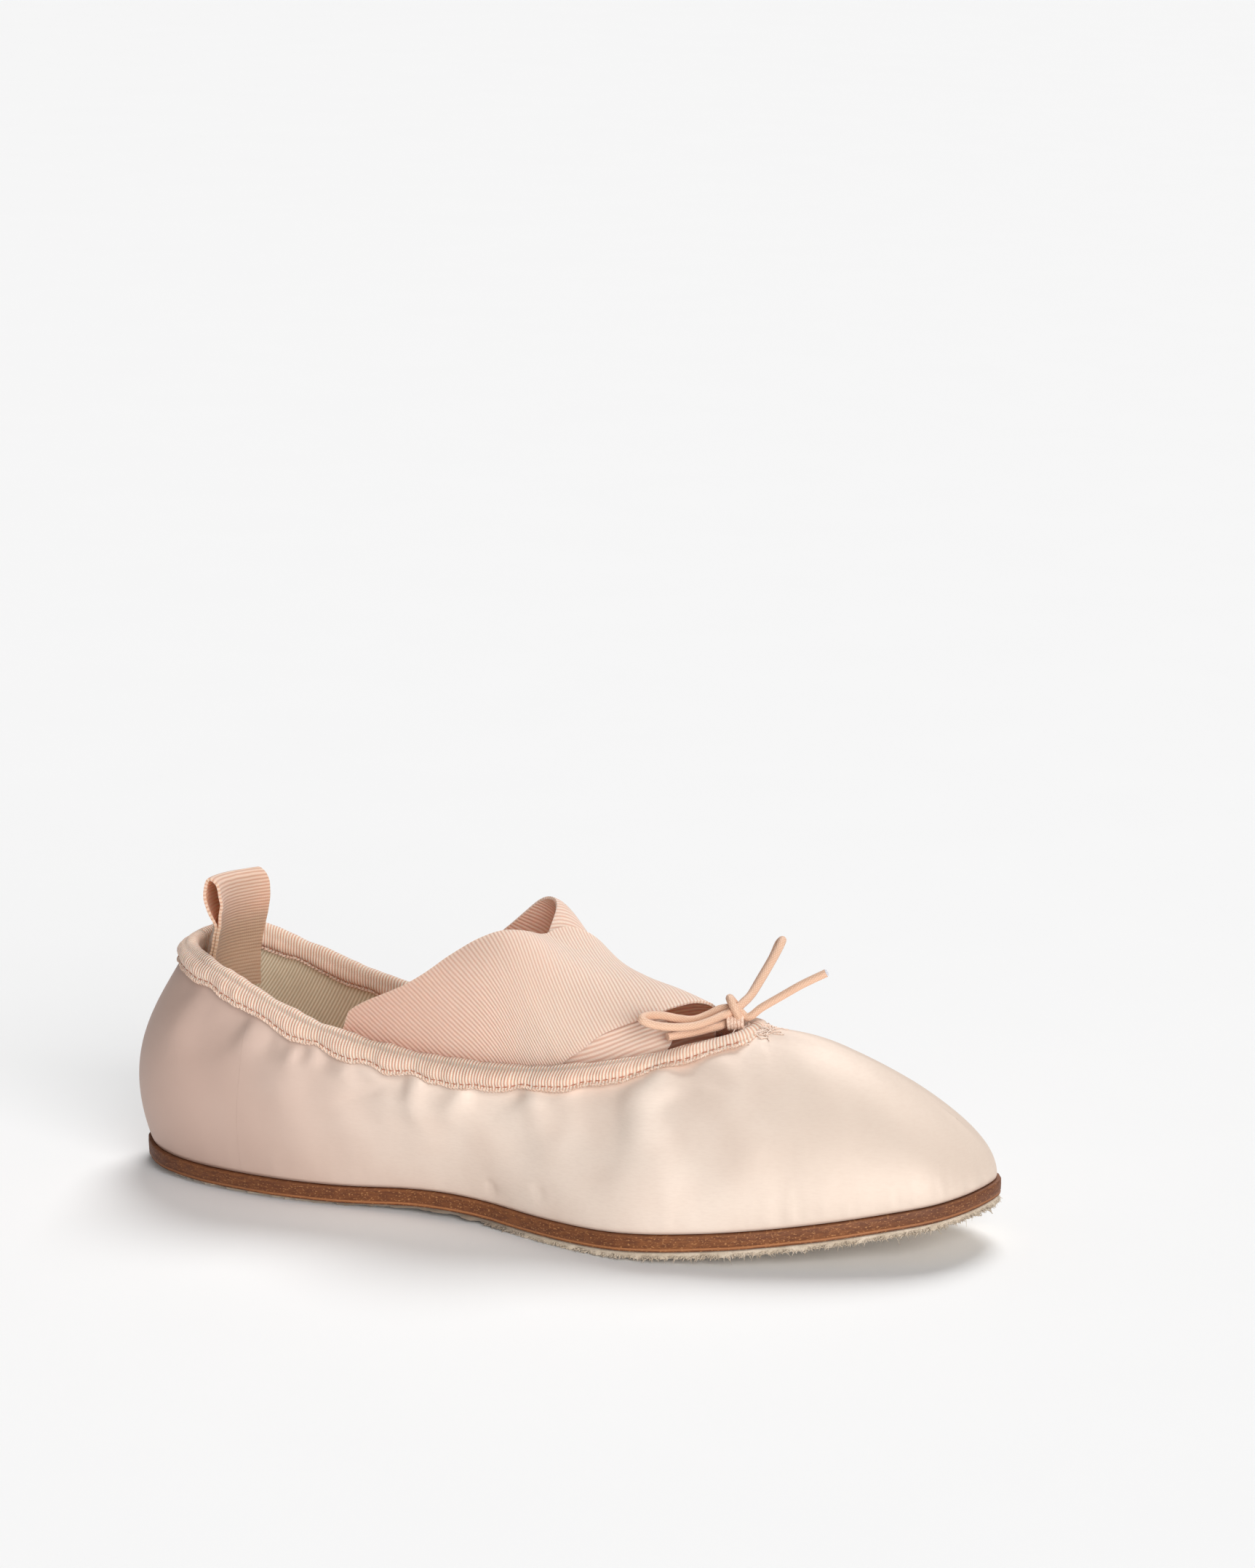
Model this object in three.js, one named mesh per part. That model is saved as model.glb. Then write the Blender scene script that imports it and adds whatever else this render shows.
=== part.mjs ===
// Right ballet flat: satin upper, gathered collar binding, crossed elastic straps and a leather sole.
// Millimetres. +X points to the toe, +Y to the medial side, +Z up; the sole stands on z = 0.
import * as THREE from "three";

// Sole
const soleLength = 243.5;
const gap = 0.3;
const treadThickness = { heel: 0.8, forefoot: 1.7 };
const treadInset = { heel: 2.2, forefoot: 0.8 };
const treadChange = { start: 0.3, end: 0.55 };
const outsoleThickness = 4.3;
const insoleThickness = 1.8;
const insoleToe = { inset: 3, start: 0.8 };
const heelLift = { height: 1.5, end: 0.13 };
const archLift = { height: 1.2, start: 0.27, end: 0.53 };
const toeSpring = { height: 11, start: 0.57, power: 1.7 };

// Upper
const wall = 1.4;
const featherInset = 1.2;
const collarBack = -107.5;
const throatFront = 56.5;

// Collar binding, a folded tape over the collar edge, fullest halfway down
const bindingDepth = 6.2;
const bindingThickness = 0.9;
const bindingPuff = 0.6;
const bindingRound = { below: 0.6, off: 0.4 };
const bindingGap = 0.38;

// Crossed straps
const strapThickness = 1;
const strapLeg = { depth: 10, lean: 0.3, stations: [1, 0.6, 0.25] };
const strapClear = 1.05;

// Pull loop
const loopWidth = 28;
const loopThickness = 0.8;
const loopTilt = 0.085;

// Drawstring bow
const cordDiameter = 2.2;
const cordSides = 8;
const knotRadii = { x: 2, y: 2.3, z: 2.9 };
const knotFacets = { around: 12, upward: 8 };

// Mesh steps. The throat lies on a station of its own.
const collarStations = 34;
const sideStations = 46;
const throatTurn = collarStations / sideStations;
const wallSteps = 9;
const soleColumns = 4;
const strapColumns = 7;
const strapAngleStep = 7.5;
const loopColumns = 6;
const loopSteps = 22;

// Outline of the outsole seen from below: distance of each edge from the heel axis.
const soleOutline = [
  { share: 0, lateral: 0, medial: 0 },
  { share: 0.05, lateral: -19.5, medial: 19 },
  { share: 0.12, lateral: -26, medial: 25 },
  { share: 0.22, lateral: -29, medial: 27.5 },
  { share: 0.38, lateral: -26.5, medial: 23.5 },
  { share: 0.47, lateral: -28.5, medial: 26 },
  { share: 0.56, lateral: -35.5, medial: 33 },
  { share: 0.65, lateral: -40, medial: 38 },
  { share: 0.74, lateral: -37, medial: 39 },
  { share: 0.84, lateral: -28.5, medial: 36.5 },
  { share: 0.92, lateral: -18, medial: 32 },
  { share: 0.97, lateral: -9, medial: 26.5 },
  { share: 1, lateral: 13.5, medial: 13.5 },
];

// Collar edge from the heel to the throat: half width on each side, height of each side,
// and how steeply the wall arrives there, in degrees above level.
const collarEdge = [
  { share: 0, lateral: 0, medial: 0, lateralTop: 63.2, medialTop: 63.2, rise: 66 },
  { share: 0.06, lateral: -17.5, medial: 17, lateralTop: 62.4, medialTop: 62.8, rise: 68 },
  { share: 0.15, lateral: -24, medial: 22.5, lateralTop: 58.6, medialTop: 56.6, rise: 70 },
  { share: 0.3, lateral: -27.3, medial: 25.5, lateralTop: 50, medialTop: 48.5, rise: 72 },
  { share: 0.5, lateral: -28, medial: 27, lateralTop: 44.6, medialTop: 44.6, rise: 72 },
  { share: 0.68, lateral: -26.5, medial: 27, lateralTop: 44.2, medialTop: 45, rise: 66 },
  { share: 0.83, lateral: -20, medial: 22.5, lateralTop: 47.2, medialTop: 48, rise: 46 },
  { share: 0.93, lateral: -10.5, medial: 14.5, lateralTop: 51, medialTop: 51.5, rise: 24 },
  { share: 1, lateral: 3, medial: 3, lateralTop: 54.7, medialTop: 54.7, rise: 4 },
];

// Where the wall that stands on each place of the sole ends along the collar, as a turn of the collar.
const collarMeeting = [
  { share: 0, turn: 0 },
  { share: 0.05, turn: 0.147 },
  { share: 0.15, turn: 0.264 },
  { share: 0.3, turn: 0.417 },
  { share: 0.5, turn: 0.599 },
  { share: 0.65, turn: 0.741 },
  { share: 0.76, turn: 0.87 },
  { share: shareAt(throatTurn), turn: 1 },
];

// Ridge of the vamp from the throat to the top of the toe.
const vampRidge = [
  { along: 0, x: 56.5, y: 3, z: 54.7 },
  { along: 0.25, x: 70, y: 5.5, z: 53 },
  { along: 0.5, x: 84, y: 8.5, z: 48.2 },
  { along: 0.75, x: 97.5, y: 11, z: 41.3 },
  { along: 1, x: 110, y: 13, z: 33.2 },
];

// Fullness of the wall around the feather line: how far it flares out over the sole, in degrees,
// and how long it keeps its direction at the sole and at its upper edge, as shares of its reach.
const wallFullness = [
  { share: 0, flare: 25, low: 0.46, high: 0.3 },
  { share: 0.15, flare: 16, low: 0.42, high: 0.3 },
  { share: 0.4, flare: 12, low: 0.4, high: 0.3 },
  { share: 0.6, flare: 5, low: 0.34, high: 0.34 },
  { share: 0.8, flare: 2, low: 0.27, high: 0.36 },
  { share: 0.95, flare: 4, low: 0.28, high: 0.36 },
  { share: 1, flare: 8, low: 0.3, high: 0.36 },
];

// Arch that the straps follow over the instep: its crest, how far its middle dips where they cross,
// how much higher it stands on the medial side, and the power of its rise from the collar.
const instepArch = [
  { x: -50, crest: 80, dip: 0, medialRise: 0, power: 0.4 },
  { x: -22, crest: 85.5, dip: 5, medialRise: 2, power: 0.4 },
  { x: -5, crest: 86, dip: 7, medialRise: 4.5, power: 0.42 },
  { x: 6, crest: 78, dip: 3.5, medialRise: 1, power: 0.6 },
  { x: 15, crest: 72.5, dip: 1.5, medialRise: 0, power: 1 },
  { x: 24, crest: 69, dip: 0.6, medialRise: 0, power: 1.4 },
  { x: 33, crest: 66.4, dip: 0, medialRise: 0, power: 1.6 },
  { x: 45, crest: 63, dip: 0, medialRise: 0, power: 1.6 },
];
const archDipAngle = 26;

// Edges of each strap across the arch, from the collar where its rear edge starts, at 0 degrees,
// to the opposite collar at 180.
const strapOverEdges = [
  { angle: 0, rear: -51, front: 12 },
  { angle: 10, rear: -33, front: 16.5 },
  { angle: 27, rear: -20, front: 21.5 },
  { angle: 58, rear: -4.5, front: 35 },
  { angle: 92, rear: -2, front: 42 },
  { angle: 130, rear: 7, front: 44 },
  { angle: 155, rear: 6, front: 43.5 },
  { angle: 180, rear: 0, front: 41 },
];
const strapUnderEdges = [
  { angle: 0, rear: -47, front: 12 },
  { angle: 10, rear: -33, front: 17 },
  { angle: 27, rear: -20, front: 22 },
  { angle: 52, rear: -6, front: 28 },
  { angle: 90, rear: -2, front: 31 },
  { angle: 120, rear: 5, front: 34.5 },
  { angle: 155, rear: 5, front: 38 },
  { angle: 180, rear: -1, front: 37 },
];

// Side view of the pull loop's ribbon, from the foot of its rear leg over the top to its front leg:
// how far ahead of the collar's back and above its edge it runs, and how far its sides curve forward.
// The tilt lifts its lateral side, as a share of the height above the edge and half the width.
const loopRibbon = [
  { ahead: 4.7, up: -16, bow: 5.8 },
  { ahead: 4.7, up: -9, bow: 5.8 },
  { ahead: 5.2, up: -4, bow: 5.8 },
  { ahead: 6.5, up: 1, bow: 5.6 },
  { ahead: 8, up: 6, bow: 5.1 },
  { ahead: 6.6, up: 11, bow: 3.9 },
  { ahead: 7.2, up: 15.6, bow: 2.8 },
  { ahead: 9.2, up: 18.1, bow: 2.3 },
  { ahead: 11.2, up: 17, bow: 2.5 },
  { ahead: 11.4, up: 12.8, bow: 3.4 },
  { ahead: 10.3, up: 8.8, bow: 4.4 },
  { ahead: 9.1, up: 5.8, bow: 5.1 },
  { ahead: 7.6, up: 1, bow: 5.6 },
  { ahead: 6.3, up: -4, bow: 5.8 },
  { ahead: 5.8, up: -9, bow: 5.8 },
  { ahead: 5.8, up: -16, bow: 5.8 },
];

// Drawstring bow: its knot in the throat and the routes of its loops and cut ends.
const knotPlace = [51.1, 3.2, 58.5];
const bowRoutes = {
  bow_loop_left: [
    [49.2, -0.6, 57.6], [47.3, -4.2, 56.8], [44.3, -8.4, 56.1], [39.8, -14.2, 56.8], [36.1, -17.6, 58],
    [33.8, -18.2, 59.1], [33.7, -16, 59.5], [36.2, -11.8, 59], [39.2, -7.2, 57.3], [41.9, -2.8, 56.2],
    [44.4, 1, 56.9], [47.2, 3.2, 58.3],
  ],
  bow_end_left: [[48.9, 1.2, 54.8], [45.4, -3.2, 53.9], [41.7, -8, 53.5], [38.4, -12, 53.4]],
  bow_loop_right: [
    [52.7, 5.8, 60], [53.4, 9, 61.4], [54.4, 14.2, 65.1], [55.6, 19.8, 69.8], [55.9, 23.2, 72.3],
    [55.4, 25.2, 72.7], [54.1, 26, 71.5], [53.7, 22.6, 68.4], [52.5, 17, 63.7], [51.7, 11.8, 60.1],
    [51.1, 8.6, 59],
  ],
  bow_end_right: [[54.7, 3.2, 56.8], [58.1, 4.6, 59.4], [62.8, 6.4, 62.5], [67.9, 8.6, 65.8], [73.8, 11, 69]],
};
const cordStep = 3;

// Smooth curve through the rows of a table, on its first column.
function tableCurve(rows, spacing = (key) => key) {
  const [keyName, ...names] = Object.keys(rows[0]);
  const keys = rows.map((row) => spacing(row[keyName]));
  const values = rows.flatMap((row) => names.map((name) => row[name]));
  const curve = new THREE.CubicInterpolant(keys, values, names.length);
  return (key) => {
    const found = curve.evaluate(key);
    return Object.fromEntries(names.map((name, index) => [name, found[index]]));
  };
}

// A turn of 0 to 1 runs from back to front with its steps drawn together at the round ends.
function turnAt(share) {
  return Math.acos(1 - 2 * share) / Math.PI;
}

function shareAt(turn) {
  return (1 - Math.cos(Math.PI * turn)) / 2;
}

const outlineAt = tableCurve(soleOutline, turnAt);
const collarAt = tableCurve(collarEdge, turnAt);
const meetingAt = tableCurve(collarMeeting, turnAt);
const fullnessAt = tableCurve(wallFullness, turnAt);
const ridgeAt = tableCurve(vampRidge);
const archAt = tableCurve(instepArch);
const { degToRad, lerp, smoothstep } = THREE.MathUtils;

// Sole: the share of its length at a place, its lift off the floor and its layers.
const clampShare = (share) => Math.min(1, Math.max(0, share));
const lengthShare = (x) => clampShare(x / soleLength + 0.5);
const towardForefoot = (share) => smoothstep(share, treadChange.start, treadChange.end);

function soleLift(share) {
  const heel = heelLift.height * Math.max(0, 1 - share / heelLift.end) ** 2;
  const archShare = clampShare((share - archLift.start) / (archLift.end - archLift.start));
  const arch = archLift.height * Math.sin(Math.PI * archShare) ** 2;
  const springShare = Math.max(0, (share - toeSpring.start) / (1 - toeSpring.start));
  return heel + arch + toeSpring.height * springShare ** toeSpring.power;
}

function treadTop(share) {
  return soleLift(share) + lerp(treadThickness.heel, treadThickness.forefoot, towardForefoot(share));
}

function featherLevel(share) {
  return treadTop(share) + gap + outsoleThickness + gap;
}

// A lap of 0 to 1 goes round the shoe: heel, lateral side, toe, medial side, heel.
function sideOfLap(lap) {
  const whole = ((lap % 1) + 1) % 1;
  return whole <= 0.5 ? { side: "lateral", turn: 2 * whole } : { side: "medial", turn: 2 - 2 * whole };
}

function soleEdge(lap) {
  const { side, turn } = sideOfLap(lap);
  return new THREE.Vector2(soleLength * (shareAt(turn) - 0.5), outlineAt(turn)[side]);
}

const lapStep = 1e-4;

function edgeNormal(lap) {
  const tangent = soleEdge(lap + lapStep).sub(soleEdge(lap - lapStep)).normalize();
  return new THREE.Vector2(tangent.y, -tangent.x);
}

function insetEdge(lap, inset) {
  return soleEdge(lap).addScaledVector(edgeNormal(lap), -inset);
}

// Closed solid from triangles given as corner points; flat slivers at collapsed ends are left out.
function solid(triangles) {
  const corners = [];
  const sliver = 1e-7;
  const triangle = new THREE.Triangle();
  for (const [a, b, c] of triangles) {
    triangle.set(a, b, c);
    if (triangle.getArea() > sliver) {
      corners.push(...a.toArray(), ...b.toArray(), ...c.toArray());
    }
  }
  const geometry = new THREE.BufferGeometry();
  geometry.setAttribute("position", new THREE.Float32BufferAttribute(corners, 3));
  return geometry;
}

// Triangles of a strip of points between two rows.
function strip(rowA, rowB, flip = false) {
  const triangles = [];
  for (let k = 0; k + 1 < rowA.length; k += 1) {
    const quad = [rowA[k], rowB[k], rowB[k + 1], rowA[k + 1]];
    if (flip) {
      quad.reverse();
    }
    triangles.push([quad[0], quad[1], quad[2]], [quad[0], quad[2], quad[3]]);
  }
  return triangles;
}

function sheet(rows, flip = false) {
  return rows.slice(1).flatMap((row, index) => strip(rows[index], row, flip));
}

// Band of even thickness: an upper and a lower grid with the four edges closed.
function slab(upper, lower) {
  const column = (rows, index) => rows.map((row) => row.at(index));
  return solid([
    ...sheet(upper),
    ...sheet(lower, true),
    ...strip(lower[0], upper[0]),
    ...strip(upper.at(-1), lower.at(-1)),
    ...strip(column(upper, 0), column(lower, 0)),
    ...strip(column(lower, -1), column(upper, -1)),
  ]);
}

// Band of even thickness around a grid of places on its middle face.
function thickBand(rows, thickness) {
  const normalAt = (k, column) => {
    const before = rows[Math.max(k - 1, 0)][column];
    const along = rows[Math.min(k + 1, rows.length - 1)][column].clone().sub(before);
    const row = rows[k];
    const across = row[Math.min(column + 1, row.length - 1)].clone().sub(row[Math.max(column - 1, 0)]);
    return along.cross(across).normalize();
  };
  const face = (off) =>
    rows.map((row, k) => row.map((place, column) => place.clone().addScaledVector(normalAt(k, column), off)));
  return slab(face(thickness / 2), face(-thickness / 2));
}

// Plate with the outline of the sole, bent with the sole's lift, between two levels.
function solePlate(insetOf, bottomAt, topAt) {
  const rows = (levelAt) => {
    const grid = [];
    for (let k = 0; k <= sideStations; k += 1) {
      const turn = k / sideStations;
      const lateral = insetEdge(turn / 2, insetOf(turn));
      const medial = insetEdge(1 - turn / 2, insetOf(turn));
      const row = [];
      for (let column = 0; column <= soleColumns; column += 1) {
        const place = lateral.clone().lerp(medial, column / soleColumns);
        row.push(new THREE.Vector3(place.x, place.y, levelAt(lengthShare(place.x))));
      }
      grid.push(row);
    }
    return grid;
  };
  return slab(rows(topAt), rows(bottomAt));
}

function makeTread() {
  const inset = (turn) => lerp(treadInset.heel, treadInset.forefoot, towardForefoot(shareAt(turn)));
  return solePlate(inset, soleLift, treadTop);
}

function makeOutsole() {
  return solePlate(() => 0, (share) => treadTop(share) + gap, (share) => featherLevel(share) - gap);
}

function makeInsole() {
  const inset = (turn) => featherInset + wall + gap + insoleToe.inset * smoothstep(turn, insoleToe.start, 1);
  return solePlate(inset, featherLevel, (share) => featherLevel(share) + insoleThickness);
}

// The upper's wall at one lap is a curve from the feather line to the collar or the vamp's ridge.
const nearly = 1e-9;
const isOpen = (turn) => turn < throatTurn - nearly;
const ridgeShare = (turn) => clampShare((turn - throatTurn) / (1 - throatTurn));

function ridgeSlope(along) {
  const step = 1e-3;
  const before = ridgeAt(Math.max(0, along - step));
  const after = ridgeAt(Math.min(1, along + step));
  return (after.z - before.z) / (after.x - before.x);
}

function collarPlace(side, collarTurn) {
  const edge = collarAt(collarTurn);
  const x = lerp(collarBack, throatFront, shareAt(collarTurn));
  return new THREE.Vector3(x, edge[side], edge[`${side}Top`]);
}

function wallCurve(lap) {
  const { side, turn } = sideOfLap(lap);
  const fullness = fullnessAt(turn);
  const foot = insetEdge(lap, featherInset);
  const start = new THREE.Vector3(foot.x, foot.y, featherLevel(lengthShare(foot.x)));
  const ridge = ridgeAt(ridgeShare(turn));
  const collarTurn = meetingAt(turn).turn;
  const end = isOpen(turn) ? collarPlace(side, collarTurn) : new THREE.Vector3(ridge.x, ridge.y, ridge.z);
  const reach = start.distanceTo(end);
  const flare = degToRad(fullness.flare);
  const outward = edgeNormal(lap);
  const leave = new THREE.Vector3(outward.x * Math.sin(flare), outward.y * Math.sin(flare), Math.cos(flare));
  const arrive = new THREE.Vector3(end.x - start.x, end.y - start.y, 0).normalize();
  if (isOpen(turn)) {
    const rise = degToRad(collarAt(collarTurn).rise);
    const inward = new THREE.Vector3(-outward.x, -outward.y, 0);
    arrive.lerp(inward, Math.sin(rise)).normalize().multiplyScalar(Math.cos(rise));
    arrive.z = Math.sin(rise);
  } else {
    arrive.z = arrive.x * ridgeSlope(ridgeShare(turn));
    arrive.normalize();
  }
  return new THREE.CubicBezierCurve3(
    start,
    start.clone().addScaledVector(leave, fullness.low * reach),
    end.clone().addScaledVector(arrive, -fullness.high * reach),
    end,
  );
}

function wallNormal(lap, height) {
  const { turn } = sideOfLap(lap);
  if (height >= 1 && !isOpen(turn)) {
    return new THREE.Vector3(-ridgeSlope(ridgeShare(turn)), 0, 1).normalize();
  }
  if (height <= 0) {
    const outward = edgeNormal(lap);
    return new THREE.Vector3(outward.x, outward.y, 0);
  }
  const around = wallCurve(lap + lapStep).getPoint(height).sub(wallCurve(lap - lapStep).getPoint(height));
  return around.cross(wallCurve(lap).getTangent(height)).normalize();
}

// A place on the wall, moved off its outer face by a distance.
function wallPlace(lap, height, off) {
  return wallCurve(lap).getPoint(height).addScaledVector(wallNormal(lap, height), off);
}

const laps = Array.from({ length: 2 * sideStations }, (_, k) => k / (2 * sideStations));

function makeUpper() {
  const heights = Array.from({ length: wallSteps + 1 }, (_, k) => k / wallSteps);
  const grid = (off) => laps.map((lap) => heights.map((height) => wallPlace(lap, height, off)));
  const outer = grid(0);
  const inner = grid(-wall);
  const round = (rows) => [...rows, rows[0]];
  const triangles = [...sheet(round(outer)), ...sheet(round(inner), true)];
  laps.forEach((lap, k) => {
    const next = (k + 1) % laps.length;
    triangles.push(...strip([inner[k][0], outer[k][0]], [inner[next][0], outer[next][0]]));
    if (isOpen(sideOfLap(lap).turn) || isOpen(sideOfLap(laps[next]).turn)) {
      const top = wallSteps;
      triangles.push(...strip([outer[k][top], inner[k][top]], [outer[next][top], inner[next][top]]));
    }
  });
  return solid(triangles);
}

// The tape's section, as depth below the collar edge and distance off the wall's outer face:
// down the inside of its fold, then up its own inner face and over to the outer face.
function bindingSection() {
  const outside = bindingGap;
  const inside = -(wall + bindingGap);
  const thick = bindingThickness;
  const full = bindingThickness + bindingPuff;
  return [
    { below: bindingDepth, off: outside },
    { below: bindingDepth / 2, off: outside },
    { below: -gap, off: outside },
    { below: -gap, off: inside },
    { below: bindingDepth, off: inside },
    { below: bindingDepth, off: inside - thick },
    { below: bindingDepth / 2, off: inside - full },
    { below: bindingRound.below, off: inside - thick },
    { below: -gap - thick, off: inside + bindingRound.off },
    { below: -gap - thick, off: outside - bindingRound.off },
    { below: bindingRound.below, off: outside + thick },
    { below: bindingDepth / 2, off: outside + full },
    { below: bindingDepth, off: outside + thick },
  ];
}

// A place of the tape: down the wall, or past its upper edge.
function bindingPlace(lap, { below, off }) {
  const curve = wallCurve(lap);
  const height = clampShare(1 - below / curve.getLength());
  const place = curve.getPointAt(height);
  place.addScaledVector(wallNormal(lap, curve.getUtoTmapping(height)), off);
  return place.addScaledVector(curve.getTangent(1), Math.max(0, -below));
}

// A place of the tape at the throat, where it runs along the vamp's ridge.
function throatPlace({ below, off }) {
  const along = Math.max(0, below) / (vampRidge.at(-1).x - vampRidge[0].x);
  const { x, y, z } = ridgeAt(along);
  const slope = ridgeSlope(along);
  const place = new THREE.Vector3(x, y, z).addScaledVector(new THREE.Vector3(-slope, 0, 1).normalize(), off);
  return place.addScaledVector(new THREE.Vector3(-1, 0, -slope).normalize(), Math.max(0, -below));
}

function makeBinding() {
  const section = bindingSection();
  const loop = [...section, section[0]];
  const lateral = laps.filter((lap) => lap < 0.5 && sideOfLap(lap).turn <= throatTurn + nearly);
  const medial = laps.filter((lap) => lap > 0.5 && sideOfLap(lap).turn <= throatTurn + nearly);
  const rows = [
    ...lateral.map((lap) => loop.map((spot) => bindingPlace(lap, spot))),
    loop.map((spot) => throatPlace(spot)),
    ...medial.map((lap) => loop.map((spot) => bindingPlace(lap, spot))),
  ];
  return solid(sheet([...rows, rows[0]], true));
}

// A place on the instep arch at a distance along the shoe and an angle across it.
function archPlace(x, angle, inset) {
  const collarTurn = turnAt((x - collarBack) / (throatFront - collarBack));
  const lateral = collarPlace("lateral", collarTurn);
  const medial = collarPlace("medial", collarTurn);
  const { crest, dip, medialRise, power } = archAt(x);
  const across = (1 - Math.cos(degToRad(angle))) / 2;
  const base = lerp(lateral.z, medial.z, across);
  const rise = (crest - inset - base) * Math.max(0, Math.sin(degToRad(angle))) ** power;
  const dipped = dip * Math.exp(-(((angle - 90) / archDipAngle) ** 2));
  const raised = medialRise * Math.max(0, Math.sin(2 * degToRad(angle - 90)));
  const y = lerp(lateral.y + inset, medial.y - inset, across);
  return new THREE.Vector3(x, y, base + rise - dipped + raised);
}

// The strap's ends run down inside the collar, along the wall.
function strapLegPlace(x, angle, inset, share) {
  const place = archPlace(x, angle, inset);
  const down = strapLeg.depth * share;
  const outward = angle < 90 ? -1 : 1;
  return place.add(new THREE.Vector3(0, outward * strapLeg.lean * down, -down));
}

function makeStrap(inset, edges, mirrored) {
  const strapEdgeAt = tableCurve(edges);
  const edgesAt = (angle) => strapEdgeAt(mirrored ? 180 - angle : angle);
  const rowAt = (angle, placeAt) => {
    const { rear, front } = edgesAt(angle);
    return Array.from({ length: strapColumns + 1 }, (_, k) => placeAt(lerp(rear, front, k / strapColumns)));
  };
  const angles = Array.from({ length: 180 / strapAngleStep + 1 }, (_, k) => k * strapAngleStep);
  const leg = (angle, share) => rowAt(angle, (x) => strapLegPlace(x, angle, inset, share));
  const rows = [
    ...strapLeg.stations.map((share) => leg(0, share)),
    ...angles.map((angle) => rowAt(angle, (x) => archPlace(x, angle, inset))),
    ...strapLeg.stations.toReversed().map((share) => leg(180, share)),
  ];
  return thickBand(rows, strapThickness);
}

function makePullLoop() {
  const back = collarPlace("lateral", 0);
  const path = new THREE.CatmullRomCurve3(
    loopRibbon.map(({ ahead, up, bow }) => new THREE.Vector3(back.x + ahead, bow, back.z + up)),
  );
  const rows = path.getPoints(loopSteps).map(({ x, y: bow, z }) =>
    Array.from({ length: loopColumns + 1 }, (_, k) => {
      const side = (2 * k) / loopColumns - 1;
      const raised = -loopTilt * side * Math.max(0, z - back.z);
      return new THREE.Vector3(x + bow * side ** 2, (side * loopWidth) / 2, z + raised);
    }),
  );
  return thickBand(rows, loopThickness);
}

function makeCord(route) {
  const path = new THREE.CatmullRomCurve3(route.map((place) => new THREE.Vector3(...place)));
  const section = new THREE.Shape();
  section.setFromPoints(
    Array.from({ length: cordSides }, (_, k) => {
      const angle = (2 * Math.PI * k) / cordSides;
      return new THREE.Vector2(Math.cos(angle), Math.sin(angle)).multiplyScalar(cordDiameter / 2);
    }),
  );
  const steps = Math.ceil(path.getLength() / cordStep);
  return new THREE.ExtrudeGeometry(section, { steps, extrudePath: path, bevelEnabled: false });
}

function makeKnot() {
  const knot = new THREE.SphereGeometry(1, knotFacets.around, knotFacets.upward);
  knot.scale(knotRadii.x, knotRadii.y, knotRadii.z);
  return knot.translate(...knotPlace);
}

const finishes = {
  suede: { color: "#d9cbb8", roughness: 0.95 },
  soleLeather: { color: "#7d4f30", roughness: 0.55 },
  lining: { color: "#9a5a34", roughness: 0.7 },
  satin: { color: "#e6d2c5", roughness: 0.35 },
  tape: { color: "#dfb79f", roughness: 0.75 },
  elastic: { color: "#e6c3b0", roughness: 0.8 },
  cord: { color: "#d8a988", roughness: 0.6 },
};

function piece(name, geometry, finish) {
  const material = new THREE.MeshStandardMaterial({ ...finishes[finish], metalness: 0 });
  const mesh = new THREE.Mesh(geometry, material);
  mesh.name = name;
  return mesh;
}

const overInset = wall + bindingGap + bindingThickness + bindingPuff + gap + strapThickness / 2;
const underInset = overInset + strapThickness + strapClear;

const body = [
  piece("suede_tread", makeTread(), "suede"),
  piece("outsole", makeOutsole(), "soleLeather"),
  piece("insole", makeInsole(), "lining"),
  piece("upper", makeUpper(), "satin"),
  piece("collar_binding", makeBinding(), "tape"),
  piece("strap_over", makeStrap(overInset, strapOverEdges, false), "elastic"),
  piece("strap_under", makeStrap(underInset, strapUnderEdges, true), "elastic"),
  piece("pull_loop", makePullLoop(), "tape"),
];
const bow = [
  piece("bow_knot", makeKnot(), "cord"),
  ...Object.entries(bowRoutes).map(([name, route]) => piece(name, makeCord(route), "cord")),
];

// The shoe stands centred over the origin.
const shoe = new THREE.Group();
shoe.add(...body);
const middle = new THREE.Box3().setFromObject(shoe).getCenter(new THREE.Vector3());
shoe.add(...bow);
shoe.position.set(-middle.x, -middle.y, 0);

export default shoe;
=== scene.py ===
import math

import bmesh
import bpy
import numpy as np
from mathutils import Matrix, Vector


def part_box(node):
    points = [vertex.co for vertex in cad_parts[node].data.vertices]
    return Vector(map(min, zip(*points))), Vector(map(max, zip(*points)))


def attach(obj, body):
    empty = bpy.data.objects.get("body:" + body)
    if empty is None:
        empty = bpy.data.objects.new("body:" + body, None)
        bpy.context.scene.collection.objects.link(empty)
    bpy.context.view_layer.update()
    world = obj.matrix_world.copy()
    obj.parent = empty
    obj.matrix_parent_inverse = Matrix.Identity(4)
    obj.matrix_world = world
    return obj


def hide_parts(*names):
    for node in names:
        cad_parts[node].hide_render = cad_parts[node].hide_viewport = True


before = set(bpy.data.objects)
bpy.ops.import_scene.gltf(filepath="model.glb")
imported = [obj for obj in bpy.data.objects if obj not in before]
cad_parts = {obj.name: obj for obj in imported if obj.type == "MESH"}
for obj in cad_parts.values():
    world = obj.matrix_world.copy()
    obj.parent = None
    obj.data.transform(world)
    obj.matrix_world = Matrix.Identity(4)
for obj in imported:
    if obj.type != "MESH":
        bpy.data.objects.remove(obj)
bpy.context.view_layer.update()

TAU = 2 * math.pi

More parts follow.
